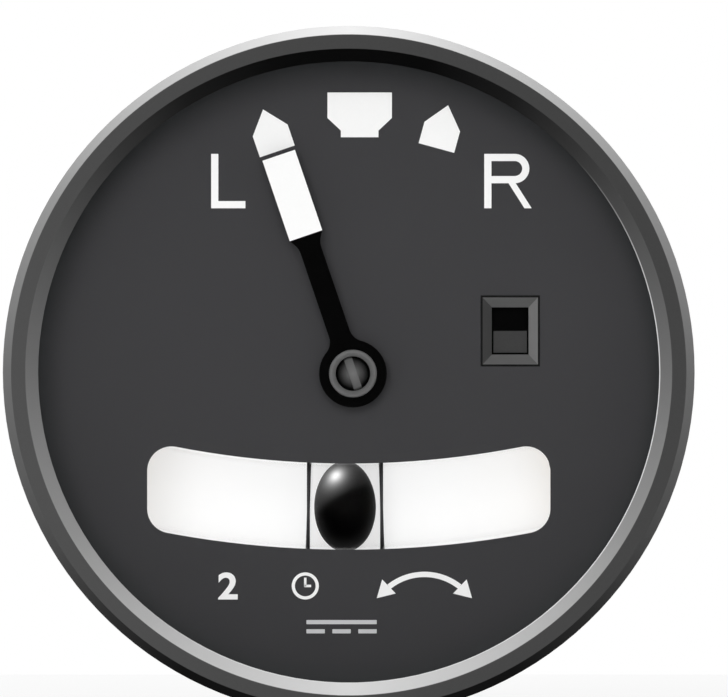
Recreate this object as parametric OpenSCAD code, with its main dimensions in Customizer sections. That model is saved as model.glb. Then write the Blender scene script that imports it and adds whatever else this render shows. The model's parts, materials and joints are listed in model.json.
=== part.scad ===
// Aircraft turn and slip indicator, electric, in a round clamp-mounted case.
// Millimetres. +X is to the viewer's right, +Z is up, the dial faces -Y and the case runs back along +Y.
// The origin lies on the case axis, in the plane where the back of the bezel seats on a panel.
// It is drawn in a left turn: the needle lies on the left mark, and the gimbal leans the other way.

/* [Bezel and glass] */
// Diameter of the dial that shows inside the bezel
view_d = 74.1; // [71:0.1:84]
// Width of the bezel's inner bevel, seen from the front
inner_bevel_w = 1.5; // [0.8:0.1:3]
// Depth of the bezel's inner bevel
inner_bevel_h = 1.6; // [0.8:0.1:3]
// Width of the bezel's flat face
bezel_face_w = 1.7; // [1:0.1:4]
// Width of the bezel's outer bevel, seen from the front
outer_bevel_w = 1.0; // [0.5:0.1:2]
// Depth of the bezel's outer bevel
outer_bevel_h = 1.0; // [0.5:0.1:2]
// Height of the bezel in front of the panel
bezel_h = 8; // [7:0.1:12]
// Width of the seat behind the bezel
seat_w = 1.75; // [1.3:0.05:2.4]
// Depth of the lip that holds the glass
lip_t = 0.5; // [0.3:0.1:1]
// Thickness of the cover glass
glass_t = 2.0; // [1.5:0.1:2.5]
// How far the glass reaches under the lip
glass_lap = 1.2; // [0.8:0.1:1.3]
// Thickness of the glass gasket
gasket_t = 0.6; // [0.3:0.1:1]
// Radius of the bezel's grub screws
grub_r = 0.8; // [0.5:0.1:1]

/* [Case] */
// Wall of the case
case_wall = 1.6; // [1.2:0.1:2]
// Width of the ledge that carries the mechanism
ledge_w = 4; // [4:0.1:5]
// Thickness of that ledge
ledge_t = 3; // [2:0.1:5]
// Thickness of the rear flange that takes the cover screws
flange_t = 5; // [4:0.1:8]
// Room between the rear plate and the case's end
rear_room = 18; // [17:0.5:40]
// Thickness of the rear cover
cover_t = 2.5; // [1.5:0.1:4]
// Number of screws in the rear cover
cover_screw_count = 6; // [4:1:8]

/* [Dial] */
// Room for the needle between glass and dial
pointer_room = 4.6; // [4.2:0.1:8]
// Thickness of the dial
dial_t = 1.0; // [0.6:0.1:1.6]
// Thickness of painted marks
paint_t = 0.08; // [0.05:0.01:0.15]
// Wall of the spacer ring between glass and dial
spacer_w = 0.65; // [0.4:0.05:1]
// Wall of the ring behind the dial
support_w = 1.2; // [0.8:0.1:1.6]
// Height of the side letters
letter_h = 6.5; // [4:0.1:8]
// Stroke of the side letters
letter_stroke = 0.86; // [0.6:0.01:1.2]

/* [Needle] */
// Sideways place of the needle's pivot
pointer_x = 0.5; // [-1:0.1:1]
// Height of the needle's pivot
pointer_z = -0.2; // [-1:0.1:1]
// Angle of the drawn needle, left of upright
pointer_rest = 18.8; // [0:0.1:30]
// Largest angle of the needle to either side
pointer_max = 36; // [31:1:40]
// Distance from the dial's edge to the needle's tip
tip_margin = 9.5; // [8:0.1:14]
// Length of the white paddle
paddle_len = 10.15; // [5:0.05:14]
// Width of the white paddle
paddle_w = 4.1; // [3:0.1:6]
// Width of the needle's stem
stem_w = 2.6; // [1.6:0.1:2.9]
// Thickness of the needle
arm_t = 0.6; // [0.4:0.05:1]
// Radius of the needle's hub
hub_r = 4.05; // [3.2:0.05:5]
// Radius of the grey collar
collar_r = 2.86; // [2.4:0.01:3.1]
// Radius of the hub screw's head
hub_screw_r = 2.0; // [1.4:0.05:2.2]
// Height of the needle above the dial
pointer_gap = 1.4; // [0.8:0.1:2]
// Radius of the needle's shaft
shaft_r = 1.0; // [0.8:0.05:1.2]

/* [Slip tube] */
// Sideways place of the tube's middle
slip_x = -0.45; // [-1:0.05:1]
// Distance from the dial's lower edge up to the tube's middle
slip_low = 20.95; // [19:0.05:23]
// Radius of the arc along which the ball runs
slip_arc = 113; // [90:1:160]
// Distance from the dial's edge to the slip window's ends
slip_side = 12.95; // [12:0.05:18]
// Height of the slip window
slip_h = 10.3; // [8:0.1:10.8]
// Corner radius of the slip window
slip_corner = 2.9; // [1:0.1:4]
// Outer radius of the glass tube
tube_r = 5.6; // [5.5:0.05:5.7]
// Radius of the tube's bore
tube_bore_r = 3.9; // [3.8:0.05:4.8]
// Radius of the ball
ball_r = 3.7; // [3:0.05:3.7]
// Diameter of the two reference wires
wire_d = 0.36; // [0.2:0.02:0.4]
// Distance of each reference wire from the tube's middle
wire_x = 4.38; // [4.1:0.01:7]
// Wall of the white channel above and below the tube
cradle_wall = 1.0; // [0.6:0.1:1.5]
// Floor of the white channel behind the tube
cradle_floor = 0.84; // [0.6:0.02:3]

/* [Power flag] */
// Distance from the dial's edge to the flag window's middle
flag_side = 17.75; // [16.5:0.05:19]
// Height of the flag window's middle
flag_z = 4.9; // [4:0.1:8]
// Width of the flag window's frame
flag_frame_w = 7.0; // [6:0.1:8]
// Height of the flag window's frame
flag_frame_h = 8.4; // [7:0.1:9]
// Width of the side bevels inside that frame
flag_bevel = 1.3; // [0.8:0.05:1.6]
// Height of the top and bottom bevels inside that frame
flag_bevel_h = 1.38; // [0.8:0.02:1.6]
// Distance from the flag's pivot to the window's middle
flag_arm = 12.5; // [11.5:0.1:13]
// Angle through which the flag swings
flag_swing = 31; // [30:1:33]

/* [Gears] */
// Module of the needle drive's gears
gear_module = 0.3; // [0.28:0.01:0.33]
// Teeth of the pinion on the needle's shaft
pinion_teeth = 16; // [16:1:18]
// Teeth in a full turn of the sector gear
sector_teeth = 64; // [60:1:68]
// Play between the teeth
backlash = 0.08; // [0.05:0.01:0.1]
// Thickness of the pinion
gear_t = 2.5; // [2:0.1:3]

/* [Gyro and gimbal] */
// Radius of the gyro wheel
rotor_r = 18.5; // [16:0.1:20]
// Width of the gyro wheel
rotor_w = 20; // [16:0.5:21]
// Radial thickness of the wheel's rim
rim_t = 5.5; // [4:0.1:7]
// Thickness of the wheel's web
web_t = 6; // [4:0.5:8]
// Gap between the wheel and the gimbal's bars
rotor_gap = 3; // [2.5:0.1:4]
// Radius of the wheel's shaft
rotor_shaft_r = 2.0; // [1.6:0.1:2.4]
// Room beside the wheel for the commutator and brushes
brush_room = 8.5; // [8:0.1:9]
// Height of the gimbal's bars
gimbal_h = 12; // [11:0.5:13]
// Thickness of the gimbal's front and rear bars
bar_t = 5; // [4.5:0.1:7]
// Thickness of the gimbal's side arms
side_t = 4.5; // [4:0.1:5]
// Radius of the gimbal's pivots
pivot_r = 1.5; // [1.2:0.1:1.8]
// Outer radius of the wheel's ball bearings
bearing_r = 4.5; // [4:0.1:5]
// Distance of the stop pins from the gimbal's axis
stop_x = 19; // [18.8:0.1:21]

/* [Frame] */
// Thickness of the front and rear plates
plate_t = 3; // [2.5:0.1:4]
// Radius of the four posts
post_r = 2.2; // [1.8:0.1:2.4]
// Angle of the lower posts below the horizontal
post_low = 55; // [52:1:60]
// Angle of the upper posts above the horizontal
post_high = 40; // [36:1:50]
// Room between the gimbal and the rear plate
back_room = 6; // [6:0.1:9]

/* [Damper and centring spring] */
// Distance from the gimbal's axis to the damper's pin
damper_arm = 18; // [17.5:0.1:18.5]
// Radius of the damper's bore
damper_bore_r = 4; // [3.5:0.1:4]
// Wall of the damper's cylinder
damper_wall = 1.2; // [0.8:0.1:1.2]
// Distance from the gimbal's axis to the spring's pin
spring_arm = 22; // [21.5:0.1:23]
// Height of the spring's fixed end above the gimbal's axis
spring_anchor = 37; // [36:0.5:38]
// Radius of the spring's coil
coil_r = 1.6; // [1.2:0.1:2]
// Diameter of the spring's wire
spring_wire_d = 0.4; // [0.3:0.05:0.5]
// Number of turns in the spring
spring_turns = 9; // [6:1:10]

/* [Power receptacle] */
// Outer radius of the receptacle's shell
plug_r = 7.94; // [7.5:0.01:9]
// Length of the shell behind its flange
plug_len = 12; // [11:0.5:16]
// Wall of the shell
plug_wall = 1.34; // [0.9:0.01:1.6]
// Width of the square flange
plug_flange_w = 20.6; // [20:0.1:24]
// Thickness of the flange
plug_flange_t = 2; // [1.5:0.1:3]
// Radius of the contact pins
pin_r = 0.8; // [0.5:0.05:1]

/* [Hidden] */
$fn = 96;

// Clearances
seat_gap = 0.02;
run_gap = 0.03;
slide_gap = 0.05;
drop_gap = 0.1;
screw_gap = 0.15;
thread_gap = 0.05;
clear_gap = 0.3;
overcut = 1;

// Radii of bezel, case and glass
view_r = view_d / 2;
face_in_r = view_r + inner_bevel_w;
face_out_r = face_in_r + bezel_face_w;
bezel_r = face_out_r + outer_bevel_w;
case_r = bezel_r - seat_w;
case_in_r = case_r - case_wall;
neck_step = 0.55 * case_wall;
neck_r = case_r - neck_step;
rear_chamfer = neck_step + drop_gap - slide_gap;
glass_r = view_r + glass_lap;
pocket_r = glass_r + drop_gap;
dial_r = case_in_r - drop_gap;
spacer_in_r = dial_r - spacer_w;
support_in_r = dial_r - support_w;
ledge_in_r = case_in_r - ledge_w;

// Places along the axis, from the bezel's face to the receptacle's mouth
bezel_y = -bezel_h;
lip_y = bezel_y + inner_bevel_h;
glass_y = lip_y + lip_t;
glass_back = glass_y + glass_t;
case_y = glass_back + gasket_t;
dial_y = glass_back + pointer_room;
dial_back = dial_y + dial_t;
arm_back = dial_y - pointer_gap;
arm_y = arm_back - arm_t;
slip_y = dial_back + clear_gap + tube_r;
cradle_in_r = tube_r + wire_d + clear_gap;
plate_y = slip_y + cradle_in_r + cradle_floor;
plate_back = plate_y + plate_t;
gear_room = 0.8;
gear_y = plate_back + gear_room;
gear_back = gear_y + gear_t;
bridge_y = gear_back + gear_room;
bridge_t = 2;
bridge_back = bridge_y + bridge_t;
gimbal_room = 1.2;
gimbal_y = bridge_back + gimbal_room;
rotor_y = gimbal_y + bar_t + rotor_gap + rotor_r;
gimbal_back = rotor_y + rotor_r + rotor_gap + bar_t;
rear_y = gimbal_back + back_room;
rear_back = rear_y + plate_t;
case_back = rear_back + rear_room;
rear_gasket_t = 0.5;
cover_y = case_back + rear_gasket_t;
cover_back = cover_y + cover_t;
plug_back = cover_back + plug_flange_t;
plug_mouth = plug_back + plug_len;

// Screws of the mechanism, and their pattern in the case
screw_r = 1.0;
screw_head_r = 1.8;
screw_head_h = 1.2;
slot_w = 0.4;
slot_depth = 0.5;
screw_bite = 5;
hole_end = 1;
screw_short = 0.5;
screw_hole = screw_bite + hole_end;
chassis_edge = 1.5;
chassis_ring_r = ledge_in_r + chassis_edge;
chassis_angles = [90, 215, 325];
chassis_at = [for (a = chassis_angles) [chassis_ring_r * cos(a), chassis_ring_r * sin(a)]];
head_sink = screw_head_h + drop_gap;
cover_edge = 2.2;
cover_bite = 3;
cover_ring_r = case_in_r - cover_edge;
cover_at = [for (i = [0 : cover_screw_count - 1])
  let (a = 90 + 360 * i / cover_screw_count)
  [cover_ring_r * cos(a), cover_ring_r * sin(a)]];
flange_edge = 2.4;
flange_in_r = cover_ring_r - flange_edge;
cover_r = case_r - neck_step;
grub_angles = [90, 210, 330];
grub_in_r = (neck_r + case_in_r) / 2;
grub_y = (case_y - rear_chamfer) / 2;
grub_sink = 0.2;
grub_out_r = bezel_r - grub_sink;

// Posts
post_ring_r = ledge_in_r - post_r - clear_gap;
post_angles = [-post_low, post_low - 180, post_high, 180 - post_high];
rear_plate_gap = 0.5;
rear_plate_r = ledge_in_r - rear_plate_gap;

// Gears
pressure_angle = 20;
gear_addendum = 0.9;
gear_dedendum = 1.2;
pinion_pitch_r = gear_module * pinion_teeth / 2;
sector_pitch_r = gear_module * sector_teeth / 2;
gear_ratio = sector_teeth / pinion_teeth;
gear_centre = pinion_pitch_r + sector_pitch_r;
sector_reach = 4;

// Gimbal
gimbal_x = pointer_x;
gimbal_z = pointer_z - gear_centre;
gimbal_rest = pointer_rest / gear_ratio;
gimbal_max = pointer_max / gear_ratio;
gimbal_in_x = rotor_w / 2 + brush_room;
gimbal_out_x = gimbal_in_x + side_t;
cap_edge = 1;
cap_r = bearing_r + cap_edge;
cap_t = 1.2;
commutator_wall = 2;
commutator_r = rotor_shaft_r + commutator_wall;
rotor_hub_wall = 3;
rotor_hub_r = rotor_shaft_r + rotor_hub_wall;
rotor_hub_stand = 2;
rotor_hub_x = rotor_w / 2 + rotor_hub_stand;
commutator_x = rotor_hub_x + clear_gap;
commutator_room = 1.2;
commutator_len = gimbal_in_x - commutator_x - commutator_room;
brush_w = 2.6;
brush_len = 5.4;
brush_x = commutator_x + commutator_len / 2;
holder_wall = 1.1;

// Stops
stop_r = 1;
stop_gap = 0.2;
stop_inset = 0.8;
stop_z = (gimbal_h / 2 + stop_r + stop_gap + stop_x * sin(gimbal_max)) / cos(gimbal_max);

// Damper
damper_pin_r = 0.9;
damper_pin_over = 1;
lever_w = 4.4;
lever_t = 2;
lever_inset = 0.5;
lever_y = gimbal_back - bar_t + lever_inset;
lever_back = lever_y + lever_t;
yoke_t = 2;
yoke_room = 2.3;
damper_y = lever_back + yoke_room;
damper_z = gimbal_z + damper_arm;
damper_r = damper_bore_r + damper_wall;
damper_travel = damper_arm * sin(gimbal_max);
damper_shift = damper_arm * sin(gimbal_rest);
piston_r = damper_bore_r - slide_gap;
piston_len = 4;
rod_len = 11;
piston_room = 1.2;
damper_open_x = gimbal_x + damper_travel - rod_len + piston_room;
damper_end_x = gimbal_x - damper_travel - rod_len - piston_len - piston_room;
damper_end_t = 2;
damper_ear_x = (damper_open_x + damper_end_x) / 2;
damper_ear_edge = 1.9;
damper_ear_z = damper_r + damper_ear_edge;
damper_ear_w = 6;
damper_ear_t = 2;

// Slip tube
slip_z = slip_low - view_r;
slip_half_w = view_r - slip_side;
window_half = asin(slip_half_w / slip_arc);
mm_angle = 180 / (PI * slip_arc);
cap_lap = 0.9;
cradle_half = window_half + cap_lap * mm_angle;
cap_lip = cradle_half + slide_gap * mm_angle;
tube_half = cap_lip + cap_lap * mm_angle;
cap_half = tube_half + cap_lap * mm_angle;
slip_screw_room = 1.2;
slip_screw_bite = 3;
slip_screw_angle = cap_half + slip_screw_room * mm_angle;
cap_foot_edge = 1.9;
cap_foot_half = slip_screw_angle + cap_foot_edge * mm_angle;
cap_wall = 0.7;
cap_out_r = tube_r + cap_wall;
cap_foot_h = 7;
cap_foot_lap = 1.6;
cradle_rise = 1;

// Flag
flag_x = view_r - flag_side;
flag_pivot_x = flag_x - flag_arm;
flag_lip = 0.6;
flag_frame_t = dial_t + flag_lip;
flag_rim = 0.2;
flag_open_w = flag_frame_w - 2 * flag_bevel;
flag_open_h = flag_frame_h - 2 * flag_bevel_h;
vane_gap = 0.5;
vane_y = dial_y + flag_frame_t + vane_gap;
vane_t = 0.5;
flag_staff_r = 0.8;
flag_hub_r = 1.8;
flag_hub_len = 1.6;
flag_can_r = 4;
flag_can_gap = 1.4;
flag_can_y = vane_y + flag_hub_len + flag_can_gap;
flag_field_w = 4.0;
flag_field_h = 2.6;

// Spring
spring_pin_r = 0.7;
spring_stand = 1.3;
spring_pin_len = 2.5;
spring_y = lever_y - spring_stand;
spring_pin_at = [gimbal_x + spring_arm * sin(gimbal_rest), gimbal_z + spring_arm * cos(gimbal_rest)];
spring_hook_at = [gimbal_x, gimbal_z + spring_anchor];
spring_span = norm(spring_hook_at - spring_pin_at);
spring_lean = atan2(spring_hook_at[0] - spring_pin_at[0], spring_hook_at[1] - spring_pin_at[1]);
spring_start = spring_pin_r + clear_gap;
spring_len = spring_span - spring_start - clear_gap;
coil_rings = 8;
bracket_h = 3;
bracket_w = 6;
bracket_rise = 1;
bracket_front = 2.5;
spring_screw_r = 1.1;

// Wiring behind the rear plate
board_w = 26;
board_h = 12;
board_z = 20;
board_stand = 4;
board_edge = 2;
board_y = rear_back + board_stand;
board_t = 1.6;
lug_x = [-8, 0, 8];
can_r = 6;
can_len = 20;
can_z = -16;
can_gap = 0.6;
lead_r = 0.5;
pin_ring_r = 3.2;
pin_angles = [90, 210, 330];
pin_tail_len = 7;
pin_depth = 4.6;
insert_tail_len = 4;
insert_stand = 2;
pin_tail_y = cover_y - pin_tail_len;
pin_tip_y = plug_mouth - pin_depth;
insert_y = cover_y - insert_tail_len;
insert_back = plug_back + insert_stand;
insert_r = plug_r - plug_wall - drop_gap;
plug_screw_edge = 2.2;
plug_screw_x = plug_flange_w / 2 - plug_screw_edge;
shoulder_rise = 0.4;
shoulder_w = 0.5;
plug_shoulder = screw_head_h + shoulder_rise;

// Colours
black = "#1a1a1c";
dial_grey = "#414042";
bezel_grey = "#4b4b4d";
collar_grey = "#6d6e71";
paint_white = "#ffffff";
steel = "#9a9ca0";
brass = "#b89a5a";
aluminium = "#b4b6b8";
rubber_black = "#202020";
copper = "#b0683c";
insulator = "#5a3a24";

// Shapes that repeat

// A flat outline, drawn as seen from the front, made solid from y0 back to y1
module slab(y0, y1) {
  translate([0, y1, 0]) rotate([90, 0, 0]) linear_extrude(y1 - y0) children();
}

// A round bar along the case's axis
module rod(x, z, r, y0, y1) {
  translate([x, y1, z]) rotate([90, 0, 0]) cylinder(r = r, h = y1 - y0);
}

// A round bar across the case, left to right
module cross_rod(y, z, r, x0, x1) {
  translate([x0, y, z]) rotate([0, 90, 0]) cylinder(r = r, h = x1 - x0);
}

// A ring or shell turned about the case's axis, from points of radius and y
module turned(profile) {
  rotate([-90, 0, 0]) rotate_extrude() polygon(profile);
}

// A washer or sleeve about the case's axis
module ring(r_in, r_out, y0, y1) {
  turned([[r_in, y0], [r_out, y0], [r_out, y1], [r_in, y1]]);
}

// A shape turned about the gyro wheel's axis, from points of radius and x
module turned_across(profile) {
  translate([0, rotor_y, 0]) rotate([0, 90, 0]) rotate_extrude() polygon(profile);
}

// Things drawn upright about the gimbal's axis, leaned as the gimbal is
module on_gimbal() {
  translate([gimbal_x, 0, gimbal_z]) rotate([0, gimbal_rest, 0]) children();
}

// Things drawn upright about the needle's axis, turned as the needle is
module on_pointer() {
  translate([pointer_x, 0, pointer_z]) rotate([0, -pointer_rest, 0]) children();
}

// A place on the slip tube's middle line, at an angle from its lowest point
module on_slip(angle) {
  translate([slip_x, slip_y, slip_z + slip_arc]) rotate([0, -angle, 0])
    translate([0, 0, -slip_arc]) children();
}

// A section swept along the slip tube; its first axis points down, its second to the front
module slip_sweep(angle0, angle1) {
  translate([slip_x, slip_y, slip_z + slip_arc]) rotate([90, 0, 0]) rotate([0, 0, angle0 - 90])
    rotate_extrude(angle = angle1 - angle0) translate([slip_arc, 0]) children();
}

// A slotted screw; its shank runs back along +Y, or to the front with way = -1
module screw(x, z, seat_y, length, way = 1) {
  translate([x, seat_y, z]) rotate([-90 * way, 0, 0]) {
    cylinder(r = screw_r, h = length);
    translate([0, 0, -screw_head_h]) difference() {
      cylinder(r = screw_head_r, h = screw_head_h);
      translate([-screw_head_r - overcut, -slot_w / 2, -overcut])
        cube([2 * screw_head_r + 2 * overcut, slot_w, overcut + slot_depth]);
    }
  }
}

// Cartesian points from a radius and an angle
function polar(r, angle) = [r * cos(angle), r * sin(angle)];

// Involute gear teeth
function involute(angle) = tan(angle) * 180 / PI - angle;
function base_r(teeth) = gear_module * teeth / 2 * cos(pressure_angle);
function tip_r(teeth) = gear_module * (teeth / 2 + gear_addendum);
function root_r(teeth) = gear_module * (teeth / 2 - gear_dedendum);
function half_tooth(teeth, r) =
  90 / teeth - backlash / (2 * gear_module * teeth) * 180 / PI
  + involute(pressure_angle) - involute(acos(min(1, base_r(teeth) / r)));
flank_steps = 5;
function flank_radii(teeth) =
  let (start = max(base_r(teeth), root_r(teeth)))
  concat(
    base_r(teeth) > root_r(teeth) ? [root_r(teeth)] : [],
    [for (i = [0 : flank_steps]) start + i * (tip_r(teeth) - start) / flank_steps]);
function tooth(teeth, angle) =
  let (radii = flank_radii(teeth), last = len(radii) - 1)
  concat(
    [for (i = [0 : last]) polar(radii[i], angle - half_tooth(teeth, radii[i]))],
    [for (i = [last : -1 : 0]) polar(radii[i], angle + half_tooth(teeth, radii[i]))]);

// A tube of a few flat sides along a path, with one direction across the path given at each point
function unit(v) = v / norm(v);
function path_way(path, i) = unit(path[min(i + 1, len(path) - 1)] - path[max(i - 1, 0)]);
function tube_ring(centre, way, across, r, sides) =
  let (side = unit(cross(way, across)), top = cross(side, way))
  [for (k = [0 : sides - 1]) centre + r * (cos(360 * k / sides) * top + sin(360 * k / sides) * side)];
module swept_tube(path, across, r, sides) {
  last = len(path) - 1;
  points = [for (i = [0 : last]) each tube_ring(path[i], path_way(path, i), across[i], r, sides)];
  walls = [for (i = [0 : last - 1], k = [0 : sides - 1])
    let (a = i * sides + k, b = i * sides + (k + 1) % sides)
    each [[a, b, b + sides], [a, b + sides, a + sides]]];
  start = [for (k = [1 : sides - 2]) [0, k + 1, k]];
  end = [for (k = [1 : sides - 2]) [last * sides, last * sides + k, last * sides + k + 1]];
  polyhedron(points = points, faces = concat(walls, start, end), convexity = 10);
}

// Bezel, glass and case

module grub_holes(r, from_r, to_r) {
  for (a = grub_angles)
    translate([0, grub_y, 0]) rotate([0, -a, 0]) rotate([0, 90, 0]) translate([0, 0, from_r])
      cylinder(r = r, h = to_r - from_r);
}

module bezel() color(bezel_grey) difference() {
  turned([
    [view_r, lip_y], [face_in_r, bezel_y], [face_out_r, bezel_y], [bezel_r, bezel_y + outer_bevel_h],
    [bezel_r, 0], [case_r + drop_gap, 0], [neck_r + slide_gap, -rear_chamfer],
    [neck_r + slide_gap, case_y],
    [pocket_r, case_y], [pocket_r, glass_y], [view_r, glass_y]
  ]);
  grub_holes(grub_r + thread_gap, grub_in_r, bezel_r + overcut);
}

module bezel_screws() color(steel) difference() {
  grub_holes(grub_r, grub_in_r + slide_gap, grub_out_r);
  for (a = grub_angles)
    translate([0, grub_y, 0]) rotate([0, -a, 0])
      translate([grub_out_r - slot_depth, -slot_w / 2, -grub_r - overcut])
        cube([overcut, slot_w, 2 * grub_r + 2 * overcut]);
}

module front_glass() color("#dfe8ea", 0.3) ring(0, glass_r, glass_y, glass_back);

module glass_gasket() color(rubber_black) ring(spacer_in_r, glass_r, glass_back, case_y);

module glass_spacer() color(black) ring(spacer_in_r, dial_r, case_y, dial_y);

module case_barrel() color(black) difference() {
  turned([
    [case_in_r, case_y], [neck_r, case_y], [neck_r, 0], [case_r, 0], [case_r, case_back],
    [flange_in_r, case_back],
    [flange_in_r, case_back - flange_t], [case_in_r, case_back - flange_t],
    [case_in_r, plate_back + ledge_t], [ledge_in_r, plate_back + ledge_t],
    [ledge_in_r, plate_back], [case_in_r, plate_back]
  ]);
  grub_holes(grub_r + thread_gap, grub_in_r, case_r + overcut);
  for (at = chassis_at)
    rod(at[0], at[1], screw_r + thread_gap, plate_back - overcut, plate_back + ledge_t + overcut);
  for (at = cover_at)
    rod(at[0], at[1], screw_r + thread_gap, case_back - flange_t + hole_end, case_back + overcut);
}

// Dial and its marks

module slip_window() {
  offset(r = slip_corner) offset(delta = -slip_corner) intersection() {
    translate([0, slip_z + slip_arc]) difference() {
      circle(r = slip_arc + slip_h / 2, $fn = 360);
      circle(r = slip_arc - slip_h / 2, $fn = 360);
    }
    translate([-slip_half_w, -view_r]) square([2 * slip_half_w, view_r]);
  }
}

module flag_outline(grow) {
  translate([flag_x - flag_frame_w / 2 - grow, flag_z - flag_frame_h / 2 - grow])
    square([flag_frame_w + 2 * grow, flag_frame_h + 2 * grow]);
}

module dial_plate() color(dial_grey) slab(dial_y, dial_back) difference() {
  circle(r = dial_r);
  slip_window($fn = 48);
  flag_outline(slide_gap);
  translate([pointer_x, pointer_z]) circle(r = shaft_r + clear_gap);
}

// A turn mark: a block with a pointed end, set out from the needle's pivot
house_w = 4.4;
house_side = 2.65;
house_h = 5.3;
// Angle, gap to the needle's tip and lean of each turn mark
house_places = [[-pointer_rest, 0.5, 0], [20.3, 1.2, 5]];
tip_at = view_r - tip_margin;
module house(angle, gap, lean) {
  translate([pointer_x, pointer_z]) rotate(-angle) translate([0, tip_at + gap]) rotate(lean)
    polygon([
      [-house_w / 2, 0], [house_w / 2, 0], [house_w / 2, house_side],
      [0, house_h], [-house_w / 2, house_side]
    ]);
}

// The centre mark: a block on a narrower neck
index_x = 1.3;
index_w = 7.7;
index_neck_w = 4.5;
index_h = 5.35;
index_block_h = 3.05;
index_taper_h = 1.5;
index_gap = 0.7;
module centre_index() {
  neck_h = index_h - index_block_h;
  translate([index_x, pointer_z + tip_at + index_gap])
    polygon([
      [-index_neck_w / 2, 0], [index_neck_w / 2, 0], [index_neck_w / 2, neck_h - index_taper_h],
      [index_w / 2, neck_h], [index_w / 2, index_h], [-index_w / 2, index_h],
      [-index_w / 2, neck_h], [-index_neck_w / 2, neck_h - index_taper_h]
    ]);
}

letter_z = 0.528 * view_r;
left_letter_x = -0.444 * view_r;
right_letter_x = 0.437 * view_r;
module letter_left() {
  translate([left_letter_x, letter_z]) {
    square([letter_stroke, letter_h]);
    square([0.63 * letter_h, letter_stroke]);
  }
}

module letter_right() {
  bowl_r = 0.27 * letter_h;
  bowl_x = 0.56 * letter_h;
  leg_x = 0.47 * letter_h;
  foot_x = 0.74 * letter_h;
  translate([right_letter_x, letter_z]) {
    square([letter_stroke, letter_h]);
    difference() {
      union() {
        translate([0, letter_h - 2 * bowl_r]) square([bowl_x, 2 * bowl_r]);
        translate([bowl_x, letter_h - bowl_r]) circle(r = bowl_r);
      }
      translate([letter_stroke, letter_h - 2 * bowl_r + letter_stroke])
        square([bowl_x - letter_stroke, 2 * (bowl_r - letter_stroke)]);
      translate([bowl_x, letter_h - bowl_r]) circle(r = bowl_r - letter_stroke);
    }
    polygon([
      [leg_x - letter_stroke / 2, letter_h - 2 * bowl_r + letter_stroke / 2],
      [leg_x + letter_stroke / 2, letter_h - 2 * bowl_r + letter_stroke / 2],
      [foot_x + letter_stroke, 0], [foot_x, 0]
    ]);
  }
}

module dial_marks() color(paint_white) slab(dial_y - paint_t, dial_y) {
  for (place = house_places)
    house(place[0], place[1], place[2]);
  centre_index();
  letter_left();
  letter_right();
}

module dial_support() color(black) ring(support_in_r, dial_r, dial_back, plate_y);

// Power flag

module flag_frame() color(dial_grey) difference() {
  union() {
    slab(dial_y, dial_y + flag_frame_t) flag_outline(0);
    slab(dial_back, dial_y + flag_frame_t) flag_outline(flag_lip);
  }
  slab(dial_y - overcut, dial_y + flag_frame_t + overcut) flag_opening();
  translate([flag_x, dial_y, flag_z]) flag_funnel();
}

module flag_opening() {
  translate([flag_x - flag_open_w / 2, flag_z - flag_open_h / 2]) square([flag_open_w, flag_open_h]);
}

// The sloped cut from the frame's rim down to its opening
flag_edge_t = 0.3;
flag_funnel_h = flag_frame_t - flag_edge_t;
module flag_funnel() {
  wide = [flag_frame_w / 2 - flag_rim, flag_frame_h / 2 - flag_rim];
  tight = [flag_open_w / 2, flag_open_h / 2];
  corners = [[-1, -1], [1, -1], [1, 1], [-1, 1]];
  points = [for (level = [[wide, 0], [tight, flag_funnel_h]], c = corners)
    [c[0] * level[0][0], level[1], c[1] * level[0][1]]];
  polyhedron(points = points, faces = [
    [3, 2, 1, 0], [4, 5, 6, 7], [0, 1, 5, 4], [1, 2, 6, 5], [2, 3, 7, 6], [3, 0, 4, 7]
  ]);
}

// The vane swings about a staff on the movement; it fills the window at both ends of its swing
vane_in_lap = 1.2;
vane_out_lap = 1.6;
vane_over = 19;
vane_low = 18;
vane_in_r = flag_arm - flag_open_w / 2 - vane_in_lap;
vane_out_r = flag_arm + flag_open_w / 2 + vane_out_lap;
vane_high = flag_swing + vane_over;
spoke_w = 1.4 * flag_hub_r;
module on_flag() {
  translate([flag_pivot_x, 0, flag_z]) children();
}

module flag_vane() color(black) on_flag() {
  slab(vane_y, vane_y + vane_t) {
    intersection() {
      difference() {
        circle(r = vane_out_r);
        circle(r = vane_in_r);
      }
      polygon([[0, 0], polar(2 * vane_out_r, -vane_low), polar(2 * vane_out_r, vane_high)]);
    }
    translate([0, -spoke_w / 2]) square([vane_in_r + overcut, spoke_w]);
    circle(r = flag_hub_r);
  }
  rod(0, 0, flag_hub_r, vane_y, vane_y + flag_hub_len);
  rod(0, 0, flag_staff_r, vane_y, plate_y - clear_gap);
}

// A grey field that shows with power on, and a red one that swings in when power is lost
module flag_field(h) {
  translate([flag_arm - flag_field_w / 2, -h / 2]) square([flag_field_w, h]);
}

module flag_paint() on_flag() {
  color(dial_grey) slab(vane_y - paint_t, vane_y) translate([0, -flag_field_h / 2]) flag_field(flag_field_h);
  color("#b3261e") slab(vane_y - paint_t, vane_y) rotate(flag_swing) flag_field(2 * flag_field_h);
}

module flag_movement() color(steel) translate([flag_pivot_x, 0, flag_z]) difference() {
  rod(0, 0, flag_can_r, flag_can_y, plate_y);
  rod(0, 0, flag_staff_r + run_gap, flag_can_y - overcut, plate_y + overcut);
}

// Slip tube

module slip_tube() color("#e8f0f0", 0.35) slip_sweep(-tube_half, tube_half) difference() {
  circle(r = tube_r);
  circle(r = tube_bore_r);
}

module slip_ball() color("#0a0a0a") on_slip(0) sphere(r = ball_r);

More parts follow.
